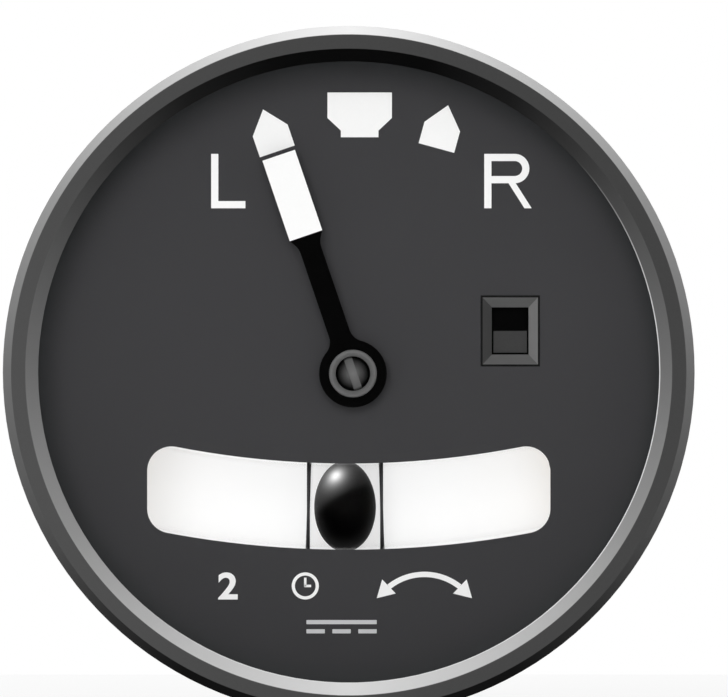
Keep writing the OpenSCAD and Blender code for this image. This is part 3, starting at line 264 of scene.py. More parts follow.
dial_paint = sprayed_paint("dial_matt_grey", (0.0468, 0.0466, 0.049), 0.72, spread=0.05, sheen=0.03)
white_paint = sprayed_paint("mark_white", (0.92, 0.92, 0.915), 0.6, depth=0.004, spread=0.03)
sign_paint = sprayed_paint("small_sign_grey", (0.57, 0.575, 0.585), 0.6, depth=0.004, spread=0.03)
needle_black = sprayed_paint("needle_black", (0.002, 0.002, 0.002), 0.62, depth=0.004, sheen=0.0)
inner_black = sprayed_paint("inside_black", (0.012, 0.012, 0.013), 0.7)
print("paints:", dial_paint.name, white_paint.name, sign_paint.name, needle_black.name, inner_black.name)

# %% [markdown]
# ## The channel behind the tube
# The channel behind the slip tube is white, so that the ball stands out. It should be as white as the
# marks, but little light falls into it here. More light would bleach the dial, so a low emission on the
# shader's own socket gives it a painted glow, though it is no lamp.

# %% Channel white
channel_white_painted_glow, place = begin_finish("channel_white_painted_glow")
fine = grain(place, 0.3)
end_finish(place, {
    "Base Color": blend(fine, grey(0.48), grey(0.52)),
    "Roughness": 0.6 + (fine - 0.5) * 0.1,
    "Normal": bump(fine, 0.004, 0.4),
    # Painted glow: the emission stands in for light that doesn't reach the channel.
    "Emission Color": (1.0, 1.0, 1.0, 1.0),
    "Emission Strength": 0.53,
})
print("finish:", channel_white_painted_glow.name)

# %% [markdown]
# ## The bezel
# The ring round the glass has a dark satin face between two bevels, and light and shade are painted on
# it. The outer bevel is painted bright at the top and black at the bottom, as light from above would fall
# on it, and the inner one the other way round; no one lamp gives both. The bevels are told apart by their
# distance from the axis, and the angle from the top of the ring picks the painted tone from a ramp. The
# face has painted shade that darkens slowly towards the upper right, and the thin edge round the glass has
# a painted highlight at the lower right.

# %% Bezel finish
OUTER_BEVEL_R, INNER_BEVEL_R, LIP_R = 40.25, 38.55, 37.15
OUTER_BEVEL_BACK = (-7.05, -6.9)
TONE_BLUR = 0.05

bezel_painted_shading, place = begin_finish("bezel_satin_painted_shading")
across, deep, up = along(place, "X"), along(place, "Y"), along(place, "Z")
radius = (across * across + up * up).root()
from_top = (up / radius).arc_cosine() / math.pi
fine = grain(place, 0.18)
brushed = grain(place, 0.12, 3.0, (1, 0.15, 1))
# Painted light and shade on the bevels: the outer one bright at the top and black at the bottom, the inner
# one the other way round.
outer_painted_shading = place.node("ShaderNodeValToRGB", {"stops": [
    (0.0, grey(0.93)), (0.17, grey(0.57)), (0.33, grey(0.31)), (0.5, grey(0.155)), (0.67, grey(0.066)),
    (0.75, grey(0.026)), (0.84, grey(0.001))]}, {0: from_top})
inner_painted_shading = place.node("ShaderNodeValToRGB", {"stops": [
    (0.08, grey(0.0005)), (0.17, grey(0.009)), (0.25, grey(0.036)), (0.33, grey(0.073)), (0.5, grey(0.18)),
    (0.67, grey(0.345)), (0.83, grey(0.62)), (1.0, grey(0.87))]}, {0: from_top})


def beyond(edge):
    return step(radius, edge - TONE_BLUR, edge + TONE_BLUR)


outer = beyond(OUTER_BEVEL_R) * (1 - step(deep, *OUTER_BEVEL_BACK))
inner = 1 - beyond(INNER_BEVEL_R)
# Painted highlight on the thin edge round the glass at the lower right, and painted shade on the face
# towards the upper right.
edge_painted_highlight = (1 - beyond(LIP_R)) * step((across - up) / radius, 0.0, 1.0)
shade = (across + up) / radius * 0.35 + 0.5
face = blend(shade + (fine - 0.5) * 0.3, grey(0.07), grey(0.043))
painted_shading_tones = blend(edge_painted_highlight, blend(outer, blend(inner, face, inner_painted_shading), outer_painted_shading), grey(0.9))
end_finish(place, {
    "Base Color": painted_shading_tones,
    "Roughness": 0.5 + (brushed - 0.5) * 0.25,
    "Normal": bump(brushed, 0.006, 0.4),
    "Specular IOR Level": 0.05,
})
print("finish:", bezel_painted_shading.name)

# %% [markdown]
# ## Wrinkled enamel
# The case is covered in black wrinkle enamel, which hides small dents. Folding a noise about its middle
# value makes a sharp ridge wherever the noise crosses that value, and those ridges as a bump look like
# wrinkles. Real folds in the mesh would take far more faces. At the ends of the barrel and at the edges
# of the cover the enamel is rubbed through, and bare metal shows.

# %% Wrinkle enamel
def wrinkle_enamel(name, edges):
    material, place = begin_finish(name)
    deep = along(place, "Y")
    folds = 1 - abs(grain(place, 1.1, 3.0) - 0.5) * 2
    patch = grain(place, 3.0, 4.0)
    near = step(abs(deep - edges[0]), 1.0, 0.0).most(step(abs(deep - edges[1]), 1.0, 0.0))
    worn = step(near * patch, 0.42, 0.5)
    dusty = grain(place, 18, 3.0)
    end_finish(place, {
        "Base Color": blend(worn, blend(dusty, grey(0.011), grey(0.02)), grey(0.42)),
        "Roughness": 0.42 + folds * 0.15 - worn * 0.15,
        "Metallic": worn,
        "Normal": bump(folds, 0.3, 1.0),
    })
    return material


CASE_ENDS, COVER_EDGES = (0.0, 105.0), (105.5, 107.6)
case_enamel = wrinkle_enamel("case_wrinkle_enamel", CASE_ENDS)
cover_enamel = wrinkle_enamel("cover_wrinkle_enamel", COVER_EDGES)
print("enamels:", case_enamel.name, cover_enamel.name)

# %% [markdown]
# ## Machined metal
# Brass, steel and aluminium show the tool that cut them: fine parallel lines, a slow drift of tone, and
# here and there a duller patch. A noise that is stretched along one axis gives the lines. Copper bars and
# ground magnet iron come out of the same function.

# %% Metals
def machined(name, colour, rough, line=0.08, stretch=(0.06, 1, 1), metallic=1.0):
    material, place = begin_finish(name)
    lines = grain(place, line, 2.0, stretch)
    patch = grain(place, 7, 3.0)
    tone = lines * 0.4 + patch * 0.6
    dark = tuple(c * 0.72 for c in colour) + (1.0,)
    end_finish(place, {
        "Base Color": blend(tone, dark, colour + (1.0,)),
        "Metallic": metallic,
        "Roughness": rough + (patch - 0.5) * 0.2,
        "Normal": bump(lines, 0.008, 0.35),
    })
    return material


aluminium = machined("machined_aluminium", (0.66, 0.66, 0.68), 0.36)
brass = machined("machined_brass", (0.66, 0.48, 0.21), 0.32, stretch=(1, 0.06, 1))
steel = machined("turned_steel", (0.5, 0.51, 0.53), 0.34, stretch=(1, 0.06, 1))
copper = machined("copper_bars", (0.68, 0.31, 0.17), 0.28)
iron = machined("ground_iron", (0.12, 0.12, 0.13), 0.5, metallic=0.8)
print("metals:", aluminium.name, brass.name, steel.name, copper.name, iron.name)

# %% [markdown]
# ## Moulded and soft materials
# Rubber gaskets are dull and slightly dusty. The terminal board is brown laminate with fibres in it.
# Brushes are pressed carbon, with a sparkle of graphite, and the leads have a woven sleeve. Each is a
# noise of the right size and stretch.

# %% Rubber, laminate, carbon and sleeving
def moulded(name, dark, light, rough, size, stretch=(1, 1, 1), depth=0.02):
    material, place = begin_finish(name)
    fibres = grain(place, size, 4.0, stretch)
    end_finish(place, {
        "Base Color": blend(fibres, dark + (1.0,), light + (1.0,)),
        "Roughness": rough + (fibres - 0.5) * 0.2,
        "Normal": bump(fibres, depth, 0.5),
    })
    return material


rubber = moulded("gasket_rubber", (0.012, 0.012, 0.012), (0.035, 0.035, 0.034), 0.8, 0.5)
laminate = moulded("brown_laminate", (0.06, 0.028, 0.012), (0.15, 0.075, 0.035), 0.5, 0.35, (0.2, 1, 1))
carbon = moulded("pressed_carbon", (0.012, 0.012, 0.012), (0.06, 0.06, 0.06), 0.55, 0.15)
sleeving = moulded("woven_sleeve", (0.14, 0.018, 0.014), (0.3, 0.05, 0.036), 0.75, 0.3, (1, 0.4, 1), 0.04)
print("moulded:", rubber.name, laminate.name, carbon.name, sleeving.name)

# %% [markdown]
# ## Glass
# The cover glass and the tube of the slip indicator are bloomed, so they reflect very little. Light has
# to come through both, so for shadow rays and for rays that some surface has reflected the shader turns
# into a clear one. The Light Path node says which kind of ray asks. Towards its rim the pane is faintly
# green, as float glass is. The tube has no such rim, so its rim is set beyond it.

# %% Glass finishes
def any_ray(place, kinds):
    rays = [place.node("ShaderNodeLightPath", {}, {}, out=kind) for kind in kinds]
    found = rays[0]
    for ray in rays[1:]:
        found = found.most(ray)
    return found


def clear_glass(name, ior, bloom, rim):
    material, place = begin_finish(name)
    across, up = along(place, "X"), along(place, "Z")
    square = across * across + up * up
    edge = step(square, rim * rim * 0.8, rim * rim)
    smear = grain(place, 6, 3.0)
    glass = place.node("ShaderNodeBsdfPrincipled", {}, {
        "Base Color": blend(edge, grey(1.0), (0.93, 0.98, 0.96, 1.0)),
        "Roughness": smear * 0.006,
        "IOR": ior,
        "Transmission Weight": 1.0,
        "Specular Tint": bloom,
    })
    clear = place.node("ShaderNodeBsdfTransparent", {}, {"Color": grey(1.0)})
    passing = any_ray(place, ("Is Shadow Ray", "Is Reflection Ray"))
    mixed = place.node("ShaderNodeMixShader", {}, {0: passing, 1: glass, 2: clear})
    place.node("ShaderNodeOutputMaterial", {}, {"Surface": mixed}, out=None)
    return material


PANE_R, NO_RIM = 38.3, 60.0
cover_glass = clear_glass("bloomed_cover_glass", 1.5, grey(0.0), PANE_R)
tube_glass = clear_glass("filled_tube_glass", 1.47, grey(0.015), NO_RIM)
print("glass:", cover_glass.name, tube_glass.name)

# %% [markdown]
# ## The power flag
# Right of the needle a small window shows a flag: grey while the instrument has power, red when it
# hasn't. Both fields are on one vane, the red one above the grey, so the height of a point on the vane
# picks its colour. The window's frame has four sloped sides with painted light and shade: which way a
# side faces picks its tone, lighter for the side that faces left and darker for the one that faces right.

# %% Flag finishes
RED_EDGE = (6.0, 6.3)

flag_fields, place = begin_finish("flag_fields")
fine = grain(place, 0.2)
red = step(along(place, "Z"), *RED_EDGE)
end_finish(place, {
    "Specular IOR Level": 0.06,
    "Base Color": blend(red, blend(fine, grey(0.04), grey(0.047)), (0.45, 0.02, 0.014, 1.0)),
    "Roughness": 0.6 + (fine - 0.5) * 0.15,
    "Normal": bump(fine, 0.004, 0.4),
})

window_frame_painted_shading, place = begin_finish("flag_frame_painted_shading")
facing = Signal(place.tree, place.tree.nodes.new("ShaderNodeTexCoord").outputs["Normal"])
sideways = facing.node("ShaderNodeSeparateXYZ", {}, {0: facing}, out="X")
forward = facing.node("ShaderNodeSeparateXYZ", {}, {0: facing}, out="Y")
rim = step(forward, -0.9, -0.97)
fine = grain(place, 0.2)
# Painted light and shade: the side facing right is darker and the side facing left lighter than the top and
# bottom.
side_painted_shade = blend(step(sideways, 0.25, 0.5), grey(0.124), grey(0.068))
side_painted_light_and_shade = blend(step(sideways, -0.25, -0.5), side_painted_shade, grey(0.19))
end_finish(place, {
    "Specular IOR Level": 0.06,
    "Base Color": blend(rim, side_painted_light_and_shade, grey(0.004)),
    "Roughness": 0.55 + (fine - 0.5) * 0.15,
    "Normal": bump(fine, 0.004, 0.4),
})
print("flag finishes:", flag_fields.name, window_frame_painted_shading.name)

# %% [markdown]
# ## The ball and the hub
# The ball is black resin with a soft polish, so its highlight is broad. The collar on the needle's hub is
# satin grey, lighter towards its outer edge. The screw in it has painted shade: its dome darkens from the
# middle towards its rim, and its slot is a little lighter. Distances are measured from the needle's own
# axis, and the slot is found by how far a point lies beside the needle's line.

# %% Ball and hub finishes
HUB_X, _, HUB_Z = pivot("pointer_turn")
NEEDLE_REST = math.radians(-18.8)
SCREW_R, COLLAR_R = 2.0, 2.86
SLOT_W = 1.0

ball_black, place = begin_finish("ball_black")
fine = grain(place, 0.4)
end_finish(place, {
    "Base Color": blend(fine, grey(0.0001), grey(0.0002)),
    "Roughness": 0.52 + (fine - 0.5) * 0.04,
    "Specular IOR Level": 0.035,
})


def hub_finish(name, reach, stops, slot_stops):
    material, place = begin_finish(name)
    across, up = along(place, "X") - HUB_X, along(place, "Z") - HUB_Z
    radius = (across * across + up * up).root()
    beside = across * math.cos(NEEDLE_REST) - up * math.sin(NEEDLE_REST)
    fine = grain(place, 0.15)
    out = radius / reach + (fine - 0.5) * 0.04
    in_slot = step(abs(beside), SLOT_W / 2 + TONE_BLUR, SLOT_W / 2 - TONE_BLUR)
    tone = place.node("ShaderNodeValToRGB", {"stops": stops}, {0: out})
    slot_tone = place.node("ShaderNodeValToRGB", {"stops": slot_stops}, {0: out})
    end_finish(place, {
        "Base Color": blend(in_slot, tone, slot_tone),
        "Roughness": 0.45 + (fine - 0.5) * 0.2,
        "Normal": bump((radius * 60).sine(), 0.002, 0.3),
        "Specular IOR Level": 0.05,
    })
    return material


# Painted shade: the screw's dome goes from grey in the middle to black at its rim.
dome_painted_shade_stops = [(0.0, grey(0.15)), (0.45, grey(0.055)), (0.75, grey(0.015)), (0.92, grey(0.001))]
slot_stops = [(0.0, grey(0.16)), (0.5, grey(0.115)), (1.0, grey(0.07))]
collar_stops = [(0.7, grey(0.09)), (0.84, grey(0.1)), (0.93, grey(0.15)), (1.0, grey(0.16))]
screw_dome_painted_shade = hub_finish("hub_screw_painted_shade", SCREW_R, dome_painted_shade_stops, slot_stops)
collar_grey = hub_finish("hub_collar_grey", COLLAR_R, collar_stops, collar_stops)
print("hub finishes:", ball_black.name, screw_dome_painted_shade.name, collar_grey.name)

# %% [markdown]
# ## Painting the solids
# The record that came with the solids names a material slot for each. A table from slot to finish paints
# nearly all of them, and a few solids get a finish of their own. Only the material slots change: the
# solids stay as they are.

# %% Assign the finishes
finish_of_slot = {
    "black_paint": inner_black, "bezel_grey": bezel_painted_shading, "dial_grey": dial_paint,
    "white_paint": white_paint, "flag_field": flag_fields, "collar_grey": collar_grey,
    "cover_glass": cover_glass, "tube_glass": tube_glass, "ball_black": ball_black, "black_rubber": rubber,
    "bare_aluminium": aluminium, "plain_brass": brass, "plain_steel": steel, "copper": copper,
    "magnet_iron": iron, "insulator": laminate, "carbon": carbon, "wire_cover": sleeving,
}
own_finish = {
    "case_barrel": case_enamel, "rear_cover": cover_enamel, "flag_frame": window_frame_painted_shading,
    "pointer_arm": needle_black, "slip_cradle": channel_white_painted_glow, "pointer_screw": screw_dome_painted_shade,
    "flag_vane": needle_black,
}


def paint(piece, material):
    if not piece.data.materials:
        piece.data.materials.append(material)
    for slot in piece.material_slots:
        slot.material = material


for part in frame["record"]["subparts"]:
    paint(nodes[part["node"]], own_finish.get(part["node"], finish_of_slot[part["material_slot"]]))

# %% [markdown]
# ## Turning on a lathe
# Round pieces are made as on a lathe. We start from a plane merged to one vertex, extrude it along half
# of the piece's outline, and spin that line once round the axis. The seam and the poles are then merged,
# and the faces turned outwards. A screw modifier would do the same, but spin shows each step.

# %% Lathe helper
WELD = 0.002 * MM
SMOOTH_UNDER = math.radians(35)


def start_clean():
    if bpy.context.object and bpy.context.object.mode != "OBJECT":
        bpy.ops.object.mode_set(mode="OBJECT")
    bpy.ops.object.select_all(action="DESELECT")


def named(name):
    piece = bpy.context.object
    piece.name = name
    piece.data.name = name
    return piece


def corners(piece):
    return [[round(v / MM, 2) for v in piece.bound_box[corner]] for corner in (0, 6)]


def close_up():
    bpy.ops.mesh.select_all(action="SELECT")
    bpy.ops.mesh.remove_doubles(threshold=WELD)
    bpy.ops.mesh.normals_make_consistent(inside=False)
    bpy.ops.object.mode_set(mode="OBJECT")


def one_vertex(spot):
    start_clean()
    bpy.ops.mesh.primitive_plane_add(size=MM)
    bpy.ops.object.mode_set(mode="EDIT")
    bpy.ops.mesh.select_mode(type="VERT")
    bpy.ops.mesh.select_all(action="SELECT")
    bpy.ops.mesh.merge(type="CENTER")
    bpy.ops.transform.translate(value=spot)


def turn_on_lathe(name, outline, centre=(0.0, 0.0), steps=64):
    here = outline[0]
    one_vertex(((centre[0] + here[0]) * MM, here[1] * MM, centre[1] * MM))
    for there in outline[1:]:
        move = ((there[0] - here[0]) * MM, (there[1] - here[1]) * MM, 0)
        bpy.ops.mesh.extrude_region_move(TRANSFORM_OT_translate={"value": move})
        here = there
    bpy.ops.mesh.select_all(action="SELECT")
    axle = (centre[0] * MM, 0, centre[1] * MM)
    bpy.ops.mesh.spin(steps=steps, angle=2 * math.pi, center=axle, axis=(0, 1, 0))
    close_up()
    bpy.ops.object.shade_smooth_by_angle(angle=SMOOTH_UNDER)
    return named(name)


print("lathe ready")

# %% [markdown]
# ## Cutting slots
# A screw's slot is cut as with a saw: a bar is laid across the head and taken away with a Boolean
# modifier, which is then applied. The bar is deleted afterwards.

# %% Slot cutter
def cut_slot(piece, place, size, turn):
    start_clean()
    bpy.ops.mesh.primitive_cube_add(size=1, location=[v * MM for v in place], rotation=(0, turn, 0),
                                    scale=[v * MM for v in size])
    saw = bpy.context.object
    start_clean()
    bpy.context.view_layer.objects.active = piece
    piece.select_set(True)
    cut = piece.modifiers.new("slot", "BOOLEAN")
    cut.operation = "DIFFERENCE"
    cut.object = saw
    bpy.ops.object.modifier_apply(modifier=cut.name)
    start_clean()
    saw.select_set(True)
    bpy.ops.object.delete()
    start_clean()
    piece.select_set(True)
    bpy.context.view_layer.objects.active = piece


print("slot cutter ready")

# %% [markdown]
# ## The needle's hub
# A domed, slotted screw sits in a rounded collar and holds the needle on its shaft. The solids have both
# with flat faces and sharp edges, so they are turned again with rounded outlines, in the same place. Each
# point of an outline is a distance from the axis and a depth. The slot lies in line with the needle,
# which rests 18.8 degrees left of upright.

# %% Hub screw and collar
HUB = (HUB_X, HUB_Z)
NEEDLE_FACE, COLLAR_FACE = -1.3, -2.0
SHANK_R, SHANK_END = 0.9, 1.2
COLLAR_BORE_R = 2.05
SAW_DEPTH, SAW_LENGTH = 1.0, 5.0
screw_dome = [(0, -1.9), (0.5, -1.88), (0.95, -1.82), (1.35, -1.72), (1.68, -1.58), (1.9, -1.42)]
screw_shank = [(SCREW_R, NEEDLE_FACE), (SHANK_R, NEEDLE_FACE), (SHANK_R, SHANK_END), (0, SHANK_END)]
collar_round = [(2.1, -1.92), (2.22, -1.98), (2.4, COLLAR_FACE), (2.58, -1.97), (2.74, -1.88),
                (2.83, -1.74)]
collar_bore = [(COLLAR_BORE_R, NEEDLE_FACE), (COLLAR_BORE_R, -1.82)]
collar_side = [(COLLAR_R, -1.56), (COLLAR_R, NEEDLE_FACE), (COLLAR_BORE_R, NEEDLE_FACE)]

hub_screw = turn_on_lathe("hub_screw", screw_dome + screw_shank, HUB)
cut_slot(hub_screw, (HUB_X, COLLAR_FACE, HUB_Z), (SLOT_W, SAW_DEPTH, SAW_LENGTH), NEEDLE_REST)
hub_collar = turn_on_lathe("hub_collar", collar_bore + collar_round + collar_side, HUB)
hub_pieces = ((hub_screw, screw_dome_painted_shade, "pointer_screw"), (hub_collar, collar_grey, "pointer_collar"))
for piece, material, node in hub_pieces:
    paint(piece, material)
    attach(piece, "pointer")
    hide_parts(node)
    print(piece.name, len(piece.data.polygons), "faces")

# %% [markdown]
# ## The slip tube
# The ball rolls in a curved glass tube that is full of clear liquid. Glass and liquid bend light almost
# alike, so the two are one solid rod of glass here, and that is why the ball looks taller than it is. A
# disc is set square to the tube's left end and spun about the centre of the curve.

# %% Filled tube
ARC_X, ARC_Y, ARC_Z = pivot("ball_roll")
ARC_R, TUBE_R = 113.0, 5.6
TUBE_HALF = math.radians(13.2523)
END_X, END_Z = ARC_X - ARC_R * math.sin(TUBE_HALF), ARC_Z - ARC_R * math.cos(TUBE_HALF)
arc_centre = (ARC_X * MM, ARC_Y * MM, ARC_Z * MM)
left_end = (END_X * MM, ARC_Y * MM, END_Z * MM)

start_clean()
bpy.ops.mesh.primitive_circle_add(vertices=64, radius=TUBE_R * MM, fill_type="NGON", location=left_end,
                                  rotation=(0, math.pi / 2 + TUBE_HALF, 0))
bpy.ops.object.transform_apply(location=True, rotation=True, scale=True)
bpy.ops.object.mode_set(mode="EDIT")
bpy.ops.mesh.select_all(action="SELECT")
bpy.ops.mesh.spin(steps=64, angle=2 * TUBE_HALF, center=arc_centre, axis=(0, 1, 0))
close_up()
bpy.ops.object.shade_smooth_by_angle(angle=SMOOTH_UNDER)
filled_tube = named("filled_tube")
paint(filled_tube, tube_glass)
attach(filled_tube, "case")
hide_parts("slip_tube")
print("tube:", corners(filled_tube))

# %% [markdown]
# ## Painted signs
# Below the slip window the dial carries small white signs. They are thin paint: flat shapes with a little
# thickness that lie on the dial. A number is made as text and turned into a mesh, then fitted into its
# box.

# %% The number
DIAL_Y = 0.7
PAINT = 0.06
PAINT_MIDDLE = (DIAL_Y - PAINT / 2) * MM
NUMBER_LEFT, NUMBER_RIGHT, NUMBER_LOW, NUMBER_HIGH = -15.62, -13.28, -27.2, -23.96
STROKE_GROWTH, TEXT_DEPTH = 0.025, 0.01


def number_sign(name, text, left, right, bottom, top):
    start_clean()
    bpy.ops.object.text_add(rotation=(math.pi / 2, 0, 0))
    letters = bpy.context.object
    letters.data.body = text
    letters.data.offset = STROKE_GROWTH
    letters.data.extrude = TEXT_DEPTH
    bpy.ops.object.convert(target="MESH")
    piece = named(name)
    low = [min(v.co[i] for v in piece.data.vertices) for i in range(3)]
    high = [max(v.co[i] for v in piece.data.vertices) for i in range(3)]
    wide = (right - left) * MM / (high[0] - low[0])
    tall = (top - bottom) * MM / (high[1] - low[1])
    piece.scale = (wide, tall, PAINT * MM / (high[2] - low[2]))
    piece.location = (left * MM - low[0] * wide, PAINT_MIDDLE, bottom * MM - low[1] * tall)
    bpy.ops.object.transform_apply(location=True, rotation=True, scale=True)
    bpy.ops.object.mode_set(mode="EDIT")
    close_up()
    paint(piece, white_paint)
    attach(piece, "case")
    return piece


rate_number = number_sign("rate_number", "2", NUMBER_LEFT, NUMBER_RIGHT, NUMBER_LOW, NUMBER_HIGH)
print(rate_number.name, len(rate_number.data.polygons), "faces")

# %% [markdown]
# Next to the number are two plain signs: a clock face for minutes, and an arrow that bends both ways for
# a turn. They and the sign below them are put together from simple shapes. A bar is a flat cube with four
# rounded corners: the edges that run through the paint are found by their direction and beveled. The
# shapes of a sign are joined into one piece, so that it is painted as one.

# %% Bars
BAR_ROUNDING = 0.12
THROUGH_PAINT = 0.9


def painted_bar(name, middle, size):
    start_clean()
    bpy.ops.mesh.primitive_cube_add(size=1, location=(middle[0] * MM, PAINT_MIDDLE, middle[1] * MM),
                                    scale=(size[0] * MM, PAINT * MM, size[1] * MM))
    bpy.ops.object.transform_apply(location=True, rotation=True, scale=True)
    bpy.ops.object.mode_set(mode="EDIT")
    bpy.ops.mesh.select_all(action="DESELECT")
    bpy.ops.object.mode_set(mode="OBJECT")
    bar = bpy.context.object
    for edge in bar.data.edges:
        ends = [bar.data.vertices[v].co for v in edge.vertices]
        edge.select = abs((ends[0] - ends[1]).normalized().y) > THROUGH_PAINT
    bpy.ops.object.mode_set(mode="EDIT")
    bpy.ops.mesh.select_mode(type="EDGE")
    bpy.ops.mesh.bevel(offset=BAR_ROUNDING * min(size) * MM, segments=3)
    close_up()
    return named(name)


def joined(name, pieces, material):
    start_clean()
    for piece in pieces:
        piece.select_set(True)
    bpy.context.view_layer.objects.active = pieces[0]
    bpy.ops.object.join()
    piece = named(name)
    piece.data.materials.clear()
    paint(piece, material)
    print(name, len(piece.data.polygons), "faces")
    return piece


print("bars and joining ready")

# %% [markdown]
# The clock's ring is turned on the lathe like the hub, only flat, and two bars are its hands. In the
# lower row stands the sign for direct current: a long bar over three dashes, in a duller paint.

# %% The clock sign and the current sign
CLOCK_X, CLOCK_Z = -5.2, -25.58
CLOCK_IN_R, CLOCK_OUT_R = 1.24, 1.62
HAND_W, LONG_HAND, SHORT_HAND = 0.3, 1.1, 0.8
LONG_SHIFT, SHORT_SHIFT = 0.45, 0.3
PAINT_FACE = DIAL_Y - PAINT
ring_outline = [(CLOCK_IN_R, DIAL_Y), (CLOCK_IN_R, PAINT_FACE), (CLOCK_OUT_R, PAINT_FACE),
                (CLOCK_OUT_R, DIAL_Y), (CLOCK_IN_R, DIAL_Y)]
clock_ring = turn_on_lathe("clock_ring", ring_outline, (CLOCK_X, CLOCK_Z))
long_hand = painted_bar("clock_hand_up", (CLOCK_X, CLOCK_Z + LONG_SHIFT), (HAND_W, LONG_HAND))
short_hand = painted_bar("clock_hand_right", (CLOCK_X + SHORT_SHIFT, CLOCK_Z), (SHORT_HAND, HAND_W))
clock_sign = joined("clock_sign", [clock_ring, long_hand, short_hand], white_paint)
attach(clock_sign, "case")

CURRENT_X, CURRENT_Z, ROW_SHIFT = -0.86, -30.45, 0.55
BAR_LENGTH, DASH_LENGTH, DASH_STEP, BAR_W = 8.4, 2.2, 3.1, 0.5
bars = [painted_bar("current_bar", (CURRENT_X, CURRENT_Z + ROW_SHIFT), (BAR_LENGTH, BAR_W))]
for dash in (-1, 0, 1):
    middle = (CURRENT_X + dash * DASH_STEP, CURRENT_Z - ROW_SHIFT)
    bars.append(painted_bar("current_dash", middle, (DASH_LENGTH, BAR_W)))
current_sign = joined("current_sign", bars, sign_paint)
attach(current_sign, "case")

# %% [markdown]
# The band of the arrow is an edge along the radius, spun about the arrow's centre. Its two heads are
# discs with three corners. A Solidify modifier then gives all of it the thickness of paint.

# %% The turn arrow
ARROW_X, ARROW_Z, ARROW_R = 9.04, -31.0, 6.8
HEAD_R, BAND_W = 1.35, 0.64
HEAD_LIFT = 0.01
ARROW_HALF = math.radians(44)


def arrow_point(angle, radius=ARROW_R, lift=0.0):
    across, up = ARROW_X + radius * math.sin(angle), ARROW_Z + radius * math.cos(angle)
    return (across * MM, (DIAL_Y - lift) * MM, up * MM)


BAND_HALF = ARROW_HALF - 0.5 * HEAD_R / ARROW_R
inner_end = arrow_point(-BAND_HALF, ARROW_R - BAND_W / 2)
outer_end = arrow_point(-BAND_HALF, ARROW_R + BAND_W / 2)
one_vertex(inner_end)
move = [b - a for a, b in zip(inner_end, outer_end)]
bpy.ops.mesh.extrude_region_move(TRANSFORM_OT_translate={"value": move})
bpy.ops.mesh.select_all(action="SELECT")
bpy.ops.mesh.spin(steps=32, angle=2 * BAND_HALF, center=(ARROW_X * MM, 0, ARROW_Z * MM), axis=(0, -1, 0))
close_up()
band = named("arrow_band")
heads = []
for side in (-1, 1):
    start_clean()
    bpy.ops.mesh.primitive_circle_add(vertices=3, radius=HEAD_R * MM, fill_type="NGON",
                                      location=arrow_point(side * ARROW_HALF, lift=HEAD_LIFT),
                                      rotation=(math.pi / 2, side * (math.pi / 2 + ARROW_HALF), 0))
    bpy.ops.object.transform_apply(location=True, rotation=True, scale=True)
    heads.append(named("arrow_head"))
turn_arrow = joined("turn_arrow", [band] + heads, white_paint)
thickness = turn_arrow.modifiers.new("paint", "SOLIDIFY")
thickness.thickness = PAINT * MM
thickness.offset = 0.0
bpy.ops.object.modifier_apply(modifier=thickness.name)
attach(turn_arrow, "case")

# %% [markdown]
# ## Cover screws
# Ten domed screws hold the rear cover and the receptacle. One is turned and slotted at the origin, and
# copies of it, each with its own mesh, are set in their places. Their slots point in different ways, as a
# fitter leaves them.

# %% Cover screws
COVER_RING_R, COVER_BACK = 35.7, 108.0
FLANGE_AT, FLANGE_BACK = 8.1, 110.0
HEAD_SLOT_W, HEAD_SLOT_Y = 0.5, 1.3
SLOT_TURN = 37
RIM_R, BOLT_R, BOLT_END = 1.8, 1.0, -3.8
head_dome = [(0, 1.2), (0.55, 1.17), (1.0, 1.07), (1.4, 0.88), (1.66, 0.62), (RIM_R, 0.3), (RIM_R, 0)]
head_shank = [(BOLT_R, 0), (BOLT_R, BOLT_END), (0, BOLT_END)]
first_screw = turn_on_lathe("cover_screw", head_dome + head_shank, steps=40)
cut_slot(first_screw, (0, HEAD_SLOT_Y, 0), (HEAD_SLOT_W, SAW_DEPTH, SAW_LENGTH), 0.0)
angles = [math.radians(degrees) for degrees in range(90, 450, 60)]
places = [(COVER_RING_R * math.cos(a), COVER_BACK, COVER_RING_R * math.sin(a)) for a in angles]
places += [(x, FLANGE_BACK, z) for x in (-FLANGE_AT, FLANGE_AT) for z in (-FLANGE_AT, FLANGE_AT)]
screws = []
for count, spot in enumerate(places):
    start_clean()
    first_screw.select_set(True)
    bpy.context.view_layer.objects.active = first_screw
    bpy.ops.object.duplicate(linked=False)
    copy = bpy.context.object
    copy.location = [v * MM for v in spot]
    copy.rotation_euler = (0, math.radians(SLOT_TURN * count % 180), 0)
    bpy.ops.object.transform_apply(location=True, rotation=True, scale=True)
    screws.append(copy)
start_clean()
first_screw.select_set(True)
bpy.ops.object.delete()
screw_heads = joined("cover_screw_heads", screws, steel)
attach(screw_heads, "case")
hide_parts("cover_screws")

# %% [markdown]
# ## The receptacle's thread
# The round receptacle has a thread outside for the plug's nut. The outline of one ridge, with sloped
# flanks and a narrow crest, is wound round the axis with a Screw modifier, which is applied, and its two
# ends are filled.

# %% Thread
THREAD_R, THREAD_START, THREAD_PITCH, THREAD_TURNS = 7.88, 112.6, 1.0, 8
RIDGE_H, FLANK, CREST = 0.36, 0.3, 0.1

